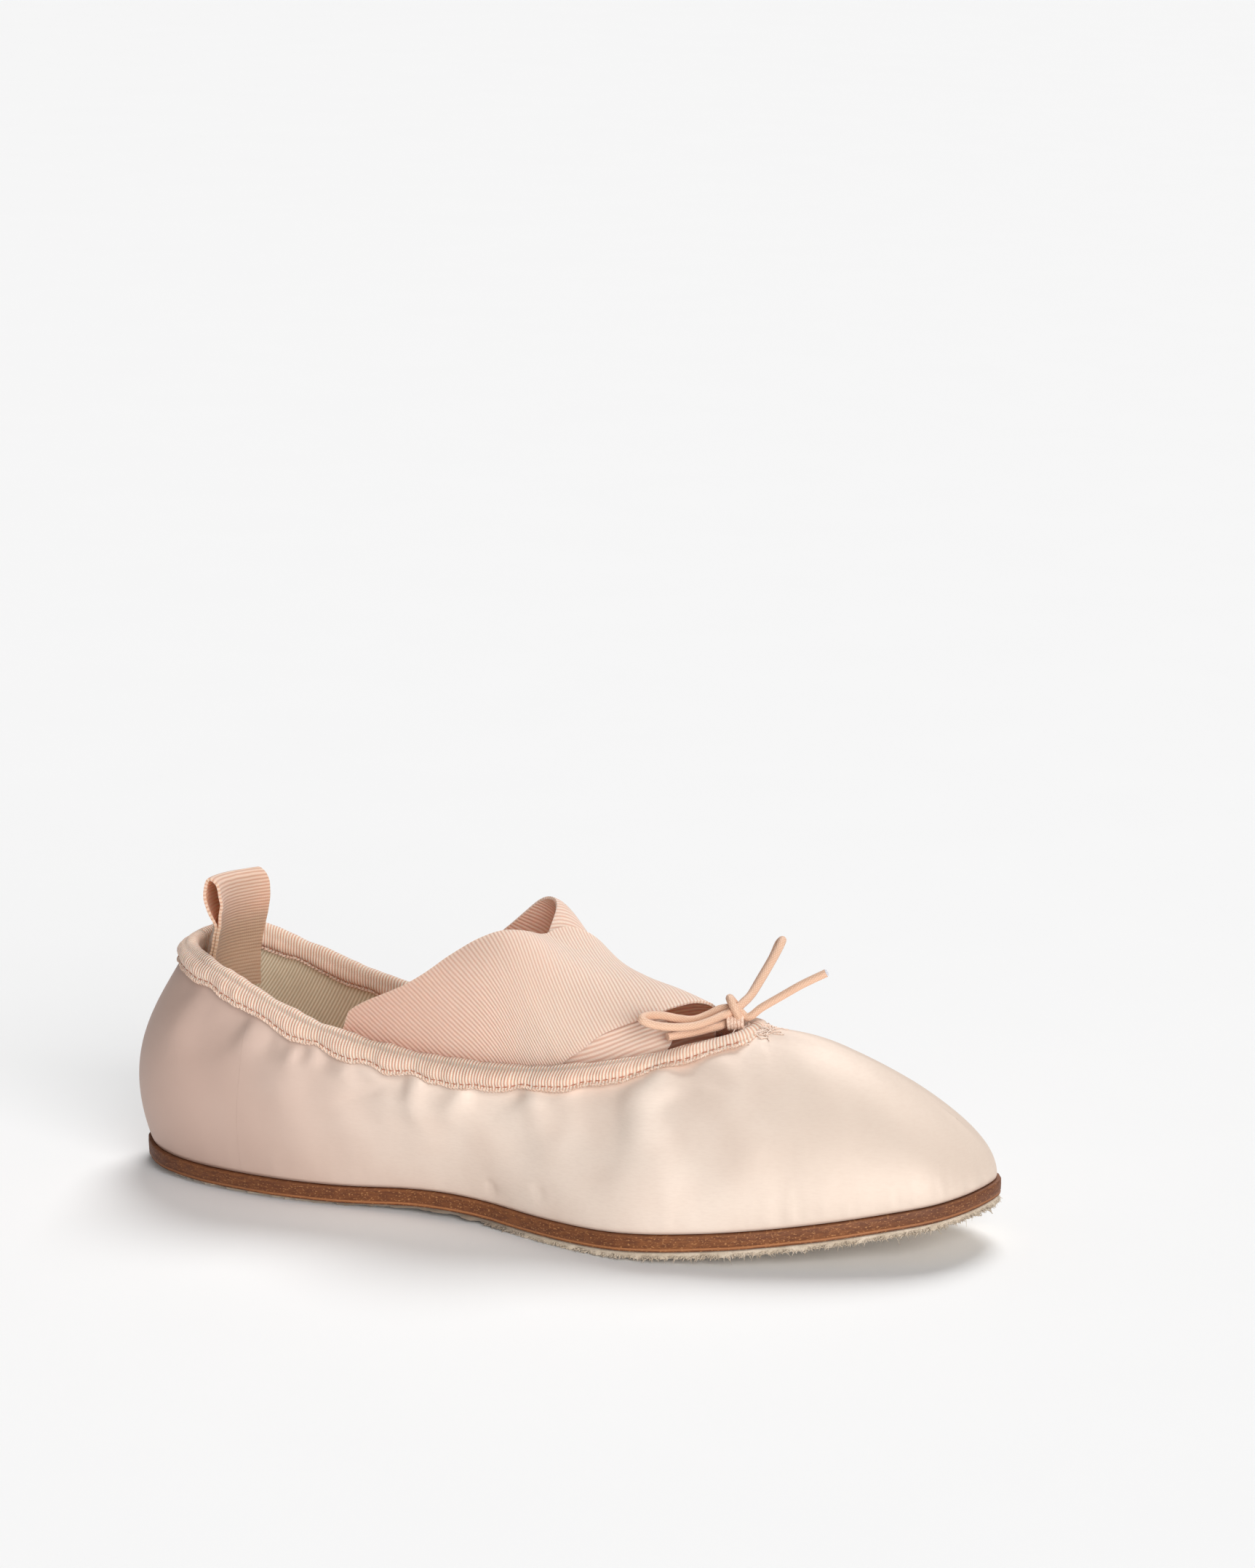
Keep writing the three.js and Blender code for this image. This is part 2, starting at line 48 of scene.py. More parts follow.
# Sizes of the shoe in millimetres, in its own frame: +X to the toe, +Y to the medial side.
MM = 0.001
SOLE_LENGTH = 243.5
GAP = 0.3
TREAD_THICKNESS = {"heel": 0.8, "forefoot": 1.7}
TREAD_INSET = {"heel": 2.2, "forefoot": 0.8}
TREAD_CHANGE = (0.3, 0.55)
OUTSOLE_THICKNESS = 4.3
HEEL_LIFT = {"height": 1.5, "end": 0.13}
ARCH_LIFT = {"height": 1.2, "start": 0.27, "end": 0.53}
TOE_SPRING = {"height": 11, "start": 0.57, "power": 1.7}
WALL = 1.4
FEATHER_INSET = 1.2
COLLAR_BACK = -107.5
THROAT_FRONT = 56.5
THROAT_TURN = 34 / 46
BINDING_GAP = 0.38
BINDING_THICKNESS = 0.9
BINDING_PUFF = 0.6
STRAP_THICKNESS = 1.0
STRAP_LEG = {"depth": 10, "lean": 0.3}
STRAP_CLEAR = 1.05
STRAP_SLANT = math.radians(47)
ARCH_DIP_ANGLE = 26
LOOP_WIDTH = 28
LOOP_THICKNESS = 0.8
LOOP_TILT = 0.085
CORD_DIAMETER = 2.2

SOLE_OUTLINE = {
    "share": [0, 0.05, 0.12, 0.22, 0.38, 0.47, 0.56, 0.65, 0.74, 0.84, 0.92, 0.97, 1],
    "lateral": [0, -19.5, -26, -29, -26.5, -28.5, -35.5, -40, -37, -28.5, -18, -9, 13.5],
    "medial": [0, 19, 25, 27.5, 23.5, 26, 33, 38, 39, 36.5, 32, 26.5, 13.5],
}
COLLAR_EDGE = {
    "share": [0, 0.06, 0.15, 0.3, 0.5, 0.68, 0.83, 0.93, 1],
    "lateral": [0, -17.5, -24, -27.3, -28, -26.5, -20, -10.5, 3],
    "medial": [0, 17, 22.5, 25.5, 27, 27, 22.5, 14.5, 3],
    "lateral_top": [63.2, 62.4, 58.6, 50, 44.6, 44.2, 47.2, 51, 54.7],
    "medial_top": [63.2, 62.8, 56.6, 48.5, 44.6, 45, 48, 51.5, 54.7],
    "rise": [66, 68, 70, 72, 72, 66, 46, 24, 4],
}
THROAT_SHARE = (1 - math.cos(math.pi * THROAT_TURN)) / 2
COLLAR_MEETING = {
    "share": [0, 0.05, 0.15, 0.3, 0.5, 0.65, 0.76, THROAT_SHARE],
    "turn": [0, 0.147, 0.264, 0.417, 0.599, 0.741, 0.87, 1],
}
VAMP_RIDGE = {
    "along": [0, 0.25, 0.5, 0.75, 1],
    "x": [56.5, 70, 84, 97.5, 110],
    "y": [3, 5.5, 8.5, 11, 13],
    "z": [54.7, 53, 48.2, 41.3, 33.2],
}
WALL_FULLNESS = {
    "share": [0, 0.15, 0.4, 0.6, 0.8, 0.95, 1],
    "flare": [25, 16, 12, 5, 2, 4, 8],
    "low": [0.46, 0.42, 0.4, 0.34, 0.27, 0.28, 0.3],
    "high": [0.3, 0.3, 0.3, 0.34, 0.36, 0.36, 0.36],
}
INSTEP_ARCH = {
    "x": [-50, -22, -5, 6, 15, 24, 33, 45],
    "crest": [80, 85.5, 86, 78, 72.5, 69, 66.4, 63],
    "dip": [0, 5, 7, 3.5, 1.5, 0.6, 0, 0],
    "medial_rise": [0, 2, 4.5, 1, 0, 0, 0, 0],
    "power": [0.4, 0.4, 0.42, 0.6, 1, 1.4, 1.6, 1.6],
}
STRAP_OVER_EDGES = {
    "angle": [0, 10, 27, 58, 92, 130, 155, 180],
    "rear": [-51, -33, -20, -4.5, -2, 7, 6, 0],
    "front": [12, 16.5, 21.5, 35, 42, 44, 43.5, 41],
}
STRAP_UNDER_EDGES = {
    "angle": [0, 10, 27, 52, 90, 120, 155, 180],
    "rear": [-47, -33, -20, -6, -2, 5, 5, -1],
    "front": [12, 17, 22, 28, 31, 34.5, 38, 37],
}
LOOP_RIBBON = {
    "ahead": [4.7, 4.7, 5.2, 6.5, 8, 6.6, 7.2, 9.2, 11.2, 11.4, 10.3, 9.1, 7.6, 6.3, 5.8, 5.8],
    "bow": [5.8, 5.8, 5.8, 5.6, 5.1, 3.9, 2.8, 2.3, 2.5, 3.4, 4.4, 5.1, 5.6, 5.8, 5.8, 5.8],
    "up": [-16, -9, -4, 1, 6, 11, 15.6, 18.1, 17, 12.8, 8.8, 5.8, 1, -4, -9, -16],
}
LEFT_LOOP = [
    (49.2, -0.6, 57.6), (47.3, -4.2, 56.8), (44.3, -8.4, 56.1), (39.8, -14.2, 56.8), (36.1, -17.6, 58),
    (33.8, -18.2, 59.1), (33.7, -16, 59.5), (36.2, -11.8, 59), (39.2, -7.2, 57.3), (41.9, -2.8, 56.2),
    (44.4, 1, 56.9), (47.2, 3.2, 58.3),
]
LEFT_END = [(48.9, 1.2, 54.8), (45.4, -3.2, 53.9), (41.7, -8, 53.5), (38.4, -12, 53.4)]
RIGHT_LOOP = [
    (52.7, 5.8, 60), (53.4, 9, 61.4), (54.4, 14.2, 65.1), (55.6, 19.8, 69.8), (55.9, 23.2, 72.3),
    (55.4, 25.2, 72.7), (54.1, 26, 71.5), (53.7, 22.6, 68.4), (52.5, 17, 63.7), (51.7, 11.8, 60.1),
    (51.1, 8.6, 59),
]
RIGHT_END = [(54.7, 3.2, 56.8), (58.1, 4.6, 59.4), (62.8, 6.4, 62.5), (67.9, 8.6, 65.8), (73.8, 11, 69)]

# Where the binding is drawn in along the collar, as the distance along the shoe and how strongly.
GATHERS = {
    "lateral": [(-104, 0.5), (-90, 0.5), (-74, 0.7), (-56, 0.8), (-41, 0.6), (-27, 1.0),
                (-10, 0.25), (4.5, 1.0), (21, 0.25), (37.5, 1.0), (50, 0.7)],
    "medial": [(-102, 0.5), (-86, 0.8), (-67, 0.7), (-51, 1.0), (-33, 0.6), (-14, 0.9),
               (4, 0.6), (21, 1.0), (39, 0.8), (50, 0.6)],
}

# Main creases of the satin: upper end and lower end in side view, height and width.
# A positive height is a soft ridge and a negative one a trough.
CREASES = {
    "lateral": [
        ((-32, 41.5), (-35, 33), -0.9, 3.6), ((-26, 40), (-28.4, 26), 0.8, 3.2),
        ((5, 42), (-12, 33), -1.3, 4.0), ((-13, 37), (-19, 27), 0.6, 3.2),
        ((4.6, 42), (13, 30.5), 0.8, 3.2), ((14.5, 39), (22.5, 28), 0.4, 5.0),
        ((22, 42), (35, 23), -1.0, 5.5), ((35, 41), (43, 29), 0.5, 5.5),
        ((38, 46), (48, 41), 0.7, 2.8), ((43, 39), (66, 26), -0.8, 6.0),
        ((-5, 32), (12, 21.5), -0.5, 4.5), ((-25, 30), (-23, 14), 0.5, 6.0),
        ((-41, 36), (-45, 23), -0.5, 5.0), ((-37, 35.5), (-52, 29), -0.4, 1.4),
        ((-52.5, 44), (-55.5, 37.5), -0.6, 2.2), ((-46.5, 42), (-48.2, 35), 0.55, 2.4),
        ((-59, 45), (-61.7, 39), -0.5, 1.9), ((-63, 43), (-65, 36.5), 0.45, 2.2),
        ((45.8, 46.7), (60, 44.8), -0.25, 1.1), ((48.3, 45), (61.5, 42.6), -0.25, 1.1),
        ((-76, 48), (-80, 37.5), 0.45, 3.2), ((-70, 46), (-72.5, 39), -0.45, 2.6),
        ((-78, 51), (-98, 36), -0.6, 4.2), ((-94, 53), (-106, 36), 0.45, 4.5),
        ((-57, 45), (-70, 26), 0.45, 5.0), ((-5.6, 13), (-4, 8.5), -0.3, 1.3),
        ((10.5, 15), (12.5, 10.5), -0.25, 1.3),
    ],
    "medial": [
        ((6, 42), (-10, 31), -1.1, 4.2), ((2, 41), (8, 26), 0.6, 3.6),
        ((22, 42), (34, 24), -0.9, 5.0), ((36, 46), (50, 36), 0.55, 3.4),
        ((-32, 41), (-36, 22), 0.5, 3.6), ((-50, 43), (-58, 29), -0.5, 3.0),
        ((-66, 46), (-73, 34), 0.45, 3.2), ((-85, 52), (-93, 38), -0.4, 3.6),
        ((44, 38), (62, 26), -0.6, 6.0), ((14, 40), (20, 28), 0.45, 4.5),
        ((-14, 40), (-20, 27), -0.7, 3.2), ((-8, 36), (-13, 24), 0.5, 3.0),
        ((-26, 31), (-24, 15), 0.45, 5.5), ((-43, 40), (-47, 27), 0.5, 2.6),
        ((-5, 30), (10, 20), -0.4, 4.5),
    ],
}
CREASE = {"gain": 1.85, "bow": 0.036, "appear": (-0.25, 0.1), "fade": (0.45, 1.15), "widen": (0.75, 1.25)}
TROUGH_LIMIT = 1.1

SEEDS = {
    "soft_folds": 11, "toe_gathers": 5, "loose_tape": 21, "tape_folds": 23, "strap_over": 32,
    "strap_under": 31, "loop_ruffle": 41, "trimmed_edge": 51, "torn_edge": 61, "fibres": 71, "fray": 81,
}


# Curves through the tables
def table_curve(rows, spacing=lambda key: key):
    """Smooth curve through a table's rows on its first column; gives a dict of columns."""
    names = list(rows)
    keys = np.array([spacing(key) for key in rows[names[0]]], float)
    columns = {name: np.array(rows[name], float) for name in names[1:]}
    last = len(keys) - 1

    def at(key):
        t = np.clip(np.asarray(key, float), keys[0], keys[-1])
        i1 = np.clip(np.searchsorted(keys, t, side="right"), 1, last)
        i0 = i1 - 1
        before = np.where(i0 == 0, i1, i0 - 1)
        after = np.where(i1 == last, i0, np.minimum(i1 + 1, last))
        half = (keys[i1] - keys[i0]) / 2
        wp = half / (keys[i0] - keys[before])
        wn = half / (keys[after] - keys[i1])
        p = (t - keys[i0]) / (keys[i1] - keys[i0])
        sp = wp * (-p**3 + 2 * p**2 - p)
        s0 = (1 + wp) * p**3 + (-1.5 - 2 * wp) * p**2 + (-0.5 + wp) * p + 1
        s1 = (-1 - wn) * p**3 + (1.5 + wn) * p**2 + 0.5 * p
        sn = wn * (p**3 - p**2)
        return {n: sp * c[before] + s0 * c[i0] + s1 * c[i1] + sn * c[after] for n, c in columns.items()}

    return at


def turn_at(share):
    return np.arccos(1 - 2 * np.clip(share, 0, 1)) / np.pi


def share_at(turn):
    return (1 - np.cos(np.pi * np.asarray(turn, float))) / 2


outline_at = table_curve(SOLE_OUTLINE, turn_at)
collar_at = table_curve(COLLAR_EDGE, turn_at)
meeting_at = table_curve(COLLAR_MEETING, turn_at)
fullness_at = table_curve(WALL_FULLNESS, turn_at)
ridge_at = table_curve(VAMP_RIDGE)
arch_at = table_curve(INSTEP_ARCH)


def lerp(a, b, t):
    return a + (b - a) * t


def smoothstep(x, low, high):
    t = np.clip((np.asarray(x, float) - low) / (high - low), 0, 1)
    return t * t * (3 - 2 * t)


SHORTEST = 1e-12


def unit(vectors):
    length = np.linalg.norm(vectors, axis=-1, keepdims=True)
    return vectors / np.maximum(length, SHORTEST)


def smooth_route(points, per_span=9):
    """Points along the smooth curve that runs through the given places, ends included."""
    places = np.array(points, float)
    places = np.vstack([2 * places[0] - places[1], places, 2 * places[-1] - places[-2]])
    route = []
    for p0, p1, p2, p3 in zip(places, places[1:], places[2:], places[3:]):
        d0, d1, d2 = (math.sqrt(np.linalg.norm(b - a)) for a, b in ((p0, p1), (p1, p2), (p2, p3)))
        m1 = ((p1 - p0) / d0 - (p2 - p0) / (d0 + d1) + (p2 - p1) / d1) * d1
        m2 = ((p2 - p1) / d1 - (p3 - p1) / (d1 + d2) + (p3 - p2) / d2) * d1
        for t in np.arange(per_span) / per_span:
            route.append(
                (2 * t**3 - 3 * t**2 + 1) * p1 + (t**3 - 2 * t**2 + t) * m1
                + (3 * t**2 - 2 * t**3) * p2 + (t**3 - t**2) * m2
            )
    return np.array([*route, places[-2]])


def lengths_along(points):
    """Distance from the first point to each, along the points."""
    steps = np.linalg.norm(np.diff(points, axis=0), axis=1)
    return np.concatenate([[0], np.cumsum(steps)])


def lengths_across(places):
    """Distance from the first column of a grid of places to each, along its rows."""
    steps = np.linalg.norm(np.diff(places, axis=1), axis=2)
    return np.concatenate([np.zeros((len(places), 1)), np.cumsum(steps, axis=1)], axis=1)


def averaged(rows, reach, spread, step=1):
    """Each row of a closed ring as the mean of its neighbours, those up to reach rows away."""
    away = np.arange(-reach, reach + 1)
    weights = np.exp(-((away * step / spread) ** 2))
    return sum(w * np.roll(rows, -k, axis=0) for k, w in zip(away, weights / weights.sum()))


WAVE_SPREADS = (0.8, 1.0, 1.27)


def waves(where, seed, octaves):
    """Smooth seeded unevenness along a distance; octaves are wavelengths and heights."""
    dice = np.random.default_rng(seed)
    total = np.zeros_like(np.asarray(where, float))
    for wavelength, share in octaves:
        for spread in WAVE_SPREADS:
            phase = dice.uniform(0, TAU)
            total = total + share / 2 * np.sin(TAU * where / (wavelength * spread) + phase)
    return total


# The sole's form
def sole_lift(share):
    heel = HEEL_LIFT["height"] * np.maximum(0, 1 - share / HEEL_LIFT["end"]) ** 2
    arch_share = np.clip((share - ARCH_LIFT["start"]) / (ARCH_LIFT["end"] - ARCH_LIFT["start"]), 0, 1)
    arch = ARCH_LIFT["height"] * np.sin(np.pi * arch_share) ** 2
    spring_share = np.maximum(0, (share - TOE_SPRING["start"]) / (1 - TOE_SPRING["start"]))
    return heel + arch + TOE_SPRING["height"] * spring_share ** TOE_SPRING["power"]


def heel_to_forefoot(sizes, share):
    return lerp(sizes["heel"], sizes["forefoot"], smoothstep(share, *TREAD_CHANGE))


def tread_top(share):
    return sole_lift(share) + heel_to_forefoot(TREAD_THICKNESS, share)


def feather_level(share):
    return tread_top(share) + GAP + OUTSOLE_THICKNESS + GAP


def length_share(x):
    return np.clip(x / SOLE_LENGTH + 0.5, 0, 1)


def both_sides(turns):
    """Laps round the shoe: heel to toe by the lateral side, then back by the medial side."""
    return np.concatenate([turns / 2, (1 - turns / 2)[-2:0:-1]])


def side_of_lap(lap):
    """Whether a lap lies on the lateral side, and its turn from heel to toe."""
    whole = np.mod(lap, 1)
    lateral = whole <= 0.5
    return lateral, np.where(lateral, 2 * whole, 2 - 2 * whole)


def sole_edge(lap):
    lateral, turn = side_of_lap(lap)
    edges = outline_at(turn)
    x = SOLE_LENGTH * (share_at(turn) - 0.5)
    return np.stack([x, np.where(lateral, edges["lateral"], edges["medial"])], axis=-1)


LAP_STEP = 1e-4


def edge_normal(lap):
    tangent = unit(sole_edge(lap + LAP_STEP) - sole_edge(lap - LAP_STEP))
    return np.stack([tangent[..., 1], -tangent[..., 0]], axis=-1)


def inset_edge(lap, inset):
    return sole_edge(lap) - edge_normal(lap) * np.asarray(inset, float)[..., None]


# The upper's form
RIDGE_STEP = 1e-3
TURN_MARGIN = 1e-9


def is_open(turn):
    """Whether the wall ends at the collar there, and not at the vamp's ridge."""
    return turn < THROAT_TURN - TURN_MARGIN


def ridge_share(turn):
    return np.clip((turn - THROAT_TURN) / (1 - THROAT_TURN), 0, 1)


def ridge_slope(along):
    before = ridge_at(np.maximum(0, along - RIDGE_STEP))
    after = ridge_at(np.minimum(1, along + RIDGE_STEP))
    return (after["z"] - before["z"]) / (after["x"] - before["x"])


def collar_place(lateral, turn):
    edge = collar_at(turn)
    x = lerp(COLLAR_BACK, THROAT_FRONT, share_at(turn))
    y = np.where(lateral, edge["lateral"], edge["medial"])
    z = np.where(lateral, edge["lateral_top"], edge["medial_top"])
    return np.stack([x, y, z], axis=-1)


def wall_controls(lap):
    """The four control points of the wall's curve from the feather line to the collar or ridge."""
    lap = np.asarray(lap, float)
    lateral, turn = side_of_lap(lap)
    opened = is_open(turn)[..., None]
    fullness = fullness_at(turn)
    foot = inset_edge(lap, np.full(lap.shape, FEATHER_INSET))
    start = np.concatenate([foot, feather_level(length_share(foot[..., 0]))[..., None]], axis=-1)
    ridge = ridge_at(ridge_share(turn))
    ridge_place = np.stack([ridge["x"], ridge["y"], ridge["z"]], axis=-1)
    collar_turn = meeting_at(turn)["turn"]
    end = np.where(opened, collar_place(lateral, collar_turn), ridge_place)
    reach = np.linalg.norm(end - start, axis=-1)[..., None]
    flare = np.radians(fullness["flare"])[..., None]
    outward = edge_normal(lap)
    leave = np.concatenate([outward * np.sin(flare), np.cos(flare)], axis=-1)
    level = end - start
    level[..., 2] = 0
    level = unit(level)
    rise = np.radians(collar_at(collar_turn)["rise"])[..., None]
    inward = np.concatenate([-outward, np.zeros_like(rise)], axis=-1)
    arrive_open = unit(lerp(level, inward, np.sin(rise))) * np.cos(rise)
    arrive_open[..., 2] = np.sin(rise)[..., 0]
    arrive_closed = level.copy()
    arrive_closed[..., 2] = level[..., 0] * ridge_slope(ridge_share(turn))
    arrive = np.where(opened, arrive_open, unit(arrive_closed))
    low, high = fullness["low"][..., None], fullness["high"][..., None]
    return start, start + leave * low * reach, end - arrive * high * reach, end


def wall_points(lap, height):
    """Places on the wall's outer face; lap and height broadcast together."""
    p0, p1, p2, p3 = wall_controls(lap)
    t = np.asarray(height, float)[..., None]
    return (1 - t) ** 3 * p0 + 3 * (1 - t) ** 2 * t * p1 + 3 * (1 - t) * t**2 * p2 + t**3 * p3


def wall_tangents(lap, height):
    p0, p1, p2, p3 = wall_controls(lap)
    t = np.asarray(height, float)[..., None]
    return unit((1 - t) ** 2 * (p1 - p0) + 2 * (1 - t) * t * (p2 - p1) + t**2 * (p3 - p2))


def wall_normals(lap, height):
    around = wall_points(lap + LAP_STEP, height) - wall_points(lap - LAP_STEP, height)
    normals = unit(np.cross(around, wall_tangents(lap, height)))
    turn = side_of_lap(lap)[1]
    slope = ridge_slope(ridge_share(turn))
    crown = unit(np.stack([-slope, np.zeros_like(slope), np.ones_like(slope)], axis=-1))
    outward = edge_normal(lap)
    foot = np.concatenate([outward, np.zeros_like(outward[..., :1])], axis=-1)
    normals = np.where((~is_open(turn) & (height >= 1))[..., None], crown, normals)
    return np.where((height <= 0)[..., None], foot, normals)


# The straps' arch
def arch_place(x, angle, inset):
    turn = turn_at((x - COLLAR_BACK) / (THROAT_FRONT - COLLAR_BACK))
    lateral, medial = (collar_place(np.full(x.shape, side), turn) for side in (True, False))
    arch = arch_at(x)
    across = (1 - np.cos(np.radians(angle))) / 2
    base = lerp(lateral[..., 2], medial[..., 2], across)
    up = np.maximum(0, np.sin(np.radians(angle)))
    rise = (arch["crest"] - inset - base) * up ** arch["power"]
    dipped = arch["dip"] * np.exp(-(((angle - 90) / ARCH_DIP_ANGLE) ** 2))
    raised = arch["medial_rise"] * np.maximum(0, np.sin(2 * np.radians(angle - 90)))
    y = lerp(lateral[..., 1] + inset, medial[..., 1] - inset, across)
    return np.stack([x, y, base + rise - dipped + raised], axis=-1)


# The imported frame's origin stands off the shoe's own by this much.
sole_low, sole_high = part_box("outsole")
EDGE_LAPS = np.linspace(0, 1, 4000, endpoint=False)
SHIFT = np.array([
    (sole_low.x + sole_high.x) / 2 / MM,
    sole_low.y / MM - sole_edge(EDGE_LAPS)[:, 1].min(),
    0,
])


def in_frame(points):
    return (np.asarray(points, float) + SHIFT) * MM


def put_in_scene(name, data):
    thing = bpy.data.objects.new(name, data)
    bpy.context.scene.collection.objects.link(thing)
    return thing


def turn_towards(thing, direction):
    thing.rotation_mode = "QUATERNION"
    thing.rotation_quaternion = direction.to_track_quat("-Z", "Y")


# Camera at the photograph's place
PHOTO = {"width": 1725, "height": 2156, "focal": 7433, "across": 760, "down": 1505}
CAMERA = {"azimuth": 25, "elevation": 16, "distance": 1450, "target": (0, 0, 30)}
SENSOR_WIDTH = 36
CLIP_RANGE = (0.05, 50)


def make_camera():
    azimuth, elevation = math.radians(CAMERA["azimuth"]), math.radians(CAMERA["elevation"])
    back = Vector((math.sin(azimuth) * math.cos(elevation), -math.cos(azimuth) * math.cos(elevation),
                   math.sin(elevation)))
    right = Vector((math.cos(azimuth), math.sin(azimuth), 0))
    up = back.cross(right)
    target = Vector(in_frame(CAMERA["target"]))
    scale = CAMERA["distance"] * MM / PHOTO["focal"]
    place = target + back * CAMERA["distance"] * MM
    aim = (target - right * (PHOTO["across"] - PHOTO["width"] / 2) * scale
           + up * (PHOTO["down"] - PHOTO["height"] / 2) * scale)
    camera = bpy.data.cameras.new("camera")
    camera.sensor_width = SENSOR_WIDTH
    camera.lens = PHOTO["focal"] / PHOTO["height"] * camera.sensor_width
    camera.clip_start, camera.clip_end = CLIP_RANGE
    stand = put_in_scene("camera", camera)
    stand.location = place
    turn_towards(stand, aim - place)
    bpy.context.scene.camera = stand


make_camera()


# Finishes
class Field:
    """A number, colour or vector that a finish works out over a surface."""

    def __init__(self, finish, socket):
        self.finish = finish
        self.socket = socket

    def math(self, operation, *terms):
        return self.finish.node("Math", {"operation": operation}, dict(enumerate(terms)))

    def __add__(self, other):
        return self.math("ADD", self, other)

    def __sub__(self, other):
        return self.math("SUBTRACT", self, other)

    def __rsub__(self, other):
        return self.math("SUBTRACT", other, self)

    def __mul__(self, other):
        return self.math("MULTIPLY", self, other)

    def __truediv__(self, other):
        return self.math("DIVIDE", self, other)

    def __pow__(self, power):
        return self.math("POWER", self, power)

    def __abs__(self):
        return self.math("ABSOLUTE", self)

    __radd__ = __add__
    __rmul__ = __mul__

    def step(self, low, high):
        """0 below low, 1 above high and smooth between."""
        return self.finish.node(
            "MapRange", {"interpolation_type": "SMOOTHSTEP"},
            {"Value": self, "From Min": low, "From Max": high})

    def ripple(self, pitch):
        """Up to 1 and down to 0 once in every pitch."""
        return self.math("SINE", self * (TAU / pitch)) * 0.5 + 0.5


class Finish:
    """A material made of nodes, ending in one shader."""

    def __init__(self, name, **constants):
        self.material = bpy.data.materials.new(name)
        self.material.use_nodes = True
        self.tree = self.material.node_tree
        self.shader = self.tree.nodes["Principled BSDF"]
        for socket, value in constants.items():
            self.shader.inputs[socket.replace("_", " ")].default_value = value

    def node(self, kind, settings=None, sockets=None, out=0):
        made = self.tree.nodes.new("ShaderNode" + kind)
        for name, value in (settings or {}).items():
            setattr(made, name, value)
        for name, value in (sockets or {}).items():
            if isinstance(value, Field):
                self.tree.links.new(value.socket, made.inputs[name])
            else:
                made.inputs[name].default_value = value
        return Field(self, made.outputs[out])

    def part_of(self, vector, axis):
        return self.node("SeparateXYZ", sockets={0: vector}, out=axis)

    def lay(self):
        """Distances in millimetres along and across the piece."""
        laid = self.node("UVMap", {"uv_map": "lay"})
        return self.part_of(laid, "X"), self.part_of(laid, "Y")

    def where(self, stretch=(1, 1, 1)):
        """Place in millimetres in the shoe, stretched for streaky grain."""
        place = self.node("TexCoord", out="Object")
        scale = tuple(1 / MM / amount for amount in stretch)
        return self.node("VectorMath", {"operation": "MULTIPLY"}, {0: place, 1: scale})

    def height_in_shoe(self):
        return self.part_of(self.where(), "Z")

    def along_shoe(self):
        return self.part_of(self.where(), "X")

    def noise(self, size, detail=3, stretch=(1, 1, 1), vector=None):
        """Unevenness from 0 to 1 of about the given size in millimetres."""
        place = vector or self.where(stretch)
        return self.node("TexNoise", sockets={"Vector": place, "Scale": 1 / size, "Detail": detail})

    def mix(self, amount, first, second):
        """One colour to another; the numbers are the Mix node's colour sockets."""
        first, second = (c if isinstance(c, Field) else (*c, 1) for c in (first, second))
        return self.node("Mix", {"data_type": "RGBA"}, {0: amount, 6: first, 7: second}, out=2)

    def paint(self, amount, first, second, coats):
        """Base colour in screen colours: a ground of two shades, then each coat by its amount."""
        base = self.mix(amount, srgb(*first), srgb(*second))
        for cover, colour in coats:
            base = self.mix(cover, base, colour if isinstance(colour, Field) else srgb(*colour))
        self.set(Base_Color=base)

    def set(self, **fields):
        for socket, field in fields.items():
            self.tree.links.new(field.socket, self.shader.inputs[socket.replace("_", " ")])

    def relief(self, height):
        """Surface relief from a height in millimetres."""
        self.set(Normal=self.node("Bump", sockets={"Height": height, "Distance": MM, "Strength": 1.0}))


def srgb(red, green, blue):
    """Linear colour from the 0 to 255 values of a screen colour."""
    def linear(value):
        value = value / 255
        return value / 12.92 if value <= 0.04045 else ((value + 0.055) / 1.055) ** 2.4
    return tuple(linear(value) for value in (red, green, blue))


def satin_finish():
    satin = Finish("satin", Metallic=0.12)
    lap, height = satin.lay()
    along = satin.along_shoe()
    cloud = satin.noise(22, 2)
    thread = satin.noise(0.5, 2, stretch=(3.5, 3.5, 0.8))
    # Painted shade: the satin is painted darker and more mauve towards the heel, where it turns away from the
    # light.
    rear = 1 - along.step(-100, -5)
    # Painted shade: the toe is painted a little darker, toning down the light that falls on it.
    toe = along.step(45, 95)
    seam = 1 - abs(lap).step(0.35, 0.8)
    # Painted shade: the satin is painted darker just above the sole, where the wall meets it.
    foot_painted_shade = 1 - height.step(0.3, 1.6)
    satin.paint(cloud.step(0.3, 0.7), (236, 215, 199), (243, 225, 210), [
        (rear * 0.85, (195, 163, 149)),
        (toe * 0.85, (222, 203, 187)),
        (thread.step(0.35, 0.75) * 0.1, (206, 178, 162)),
        (seam * 0.75, (170, 104, 86)),
        (foot_painted_shade * 0.2, (190, 152, 132)),
    ])
    satin.set(Roughness=0.46 + cloud * 0.08 + thread * 0.08)
    satin.relief(thread * 0.014 + satin.noise(3.5, 2) * 0.05 + satin.noise(11, 2) * 0.22 - seam * 0.25)
    return satin.material


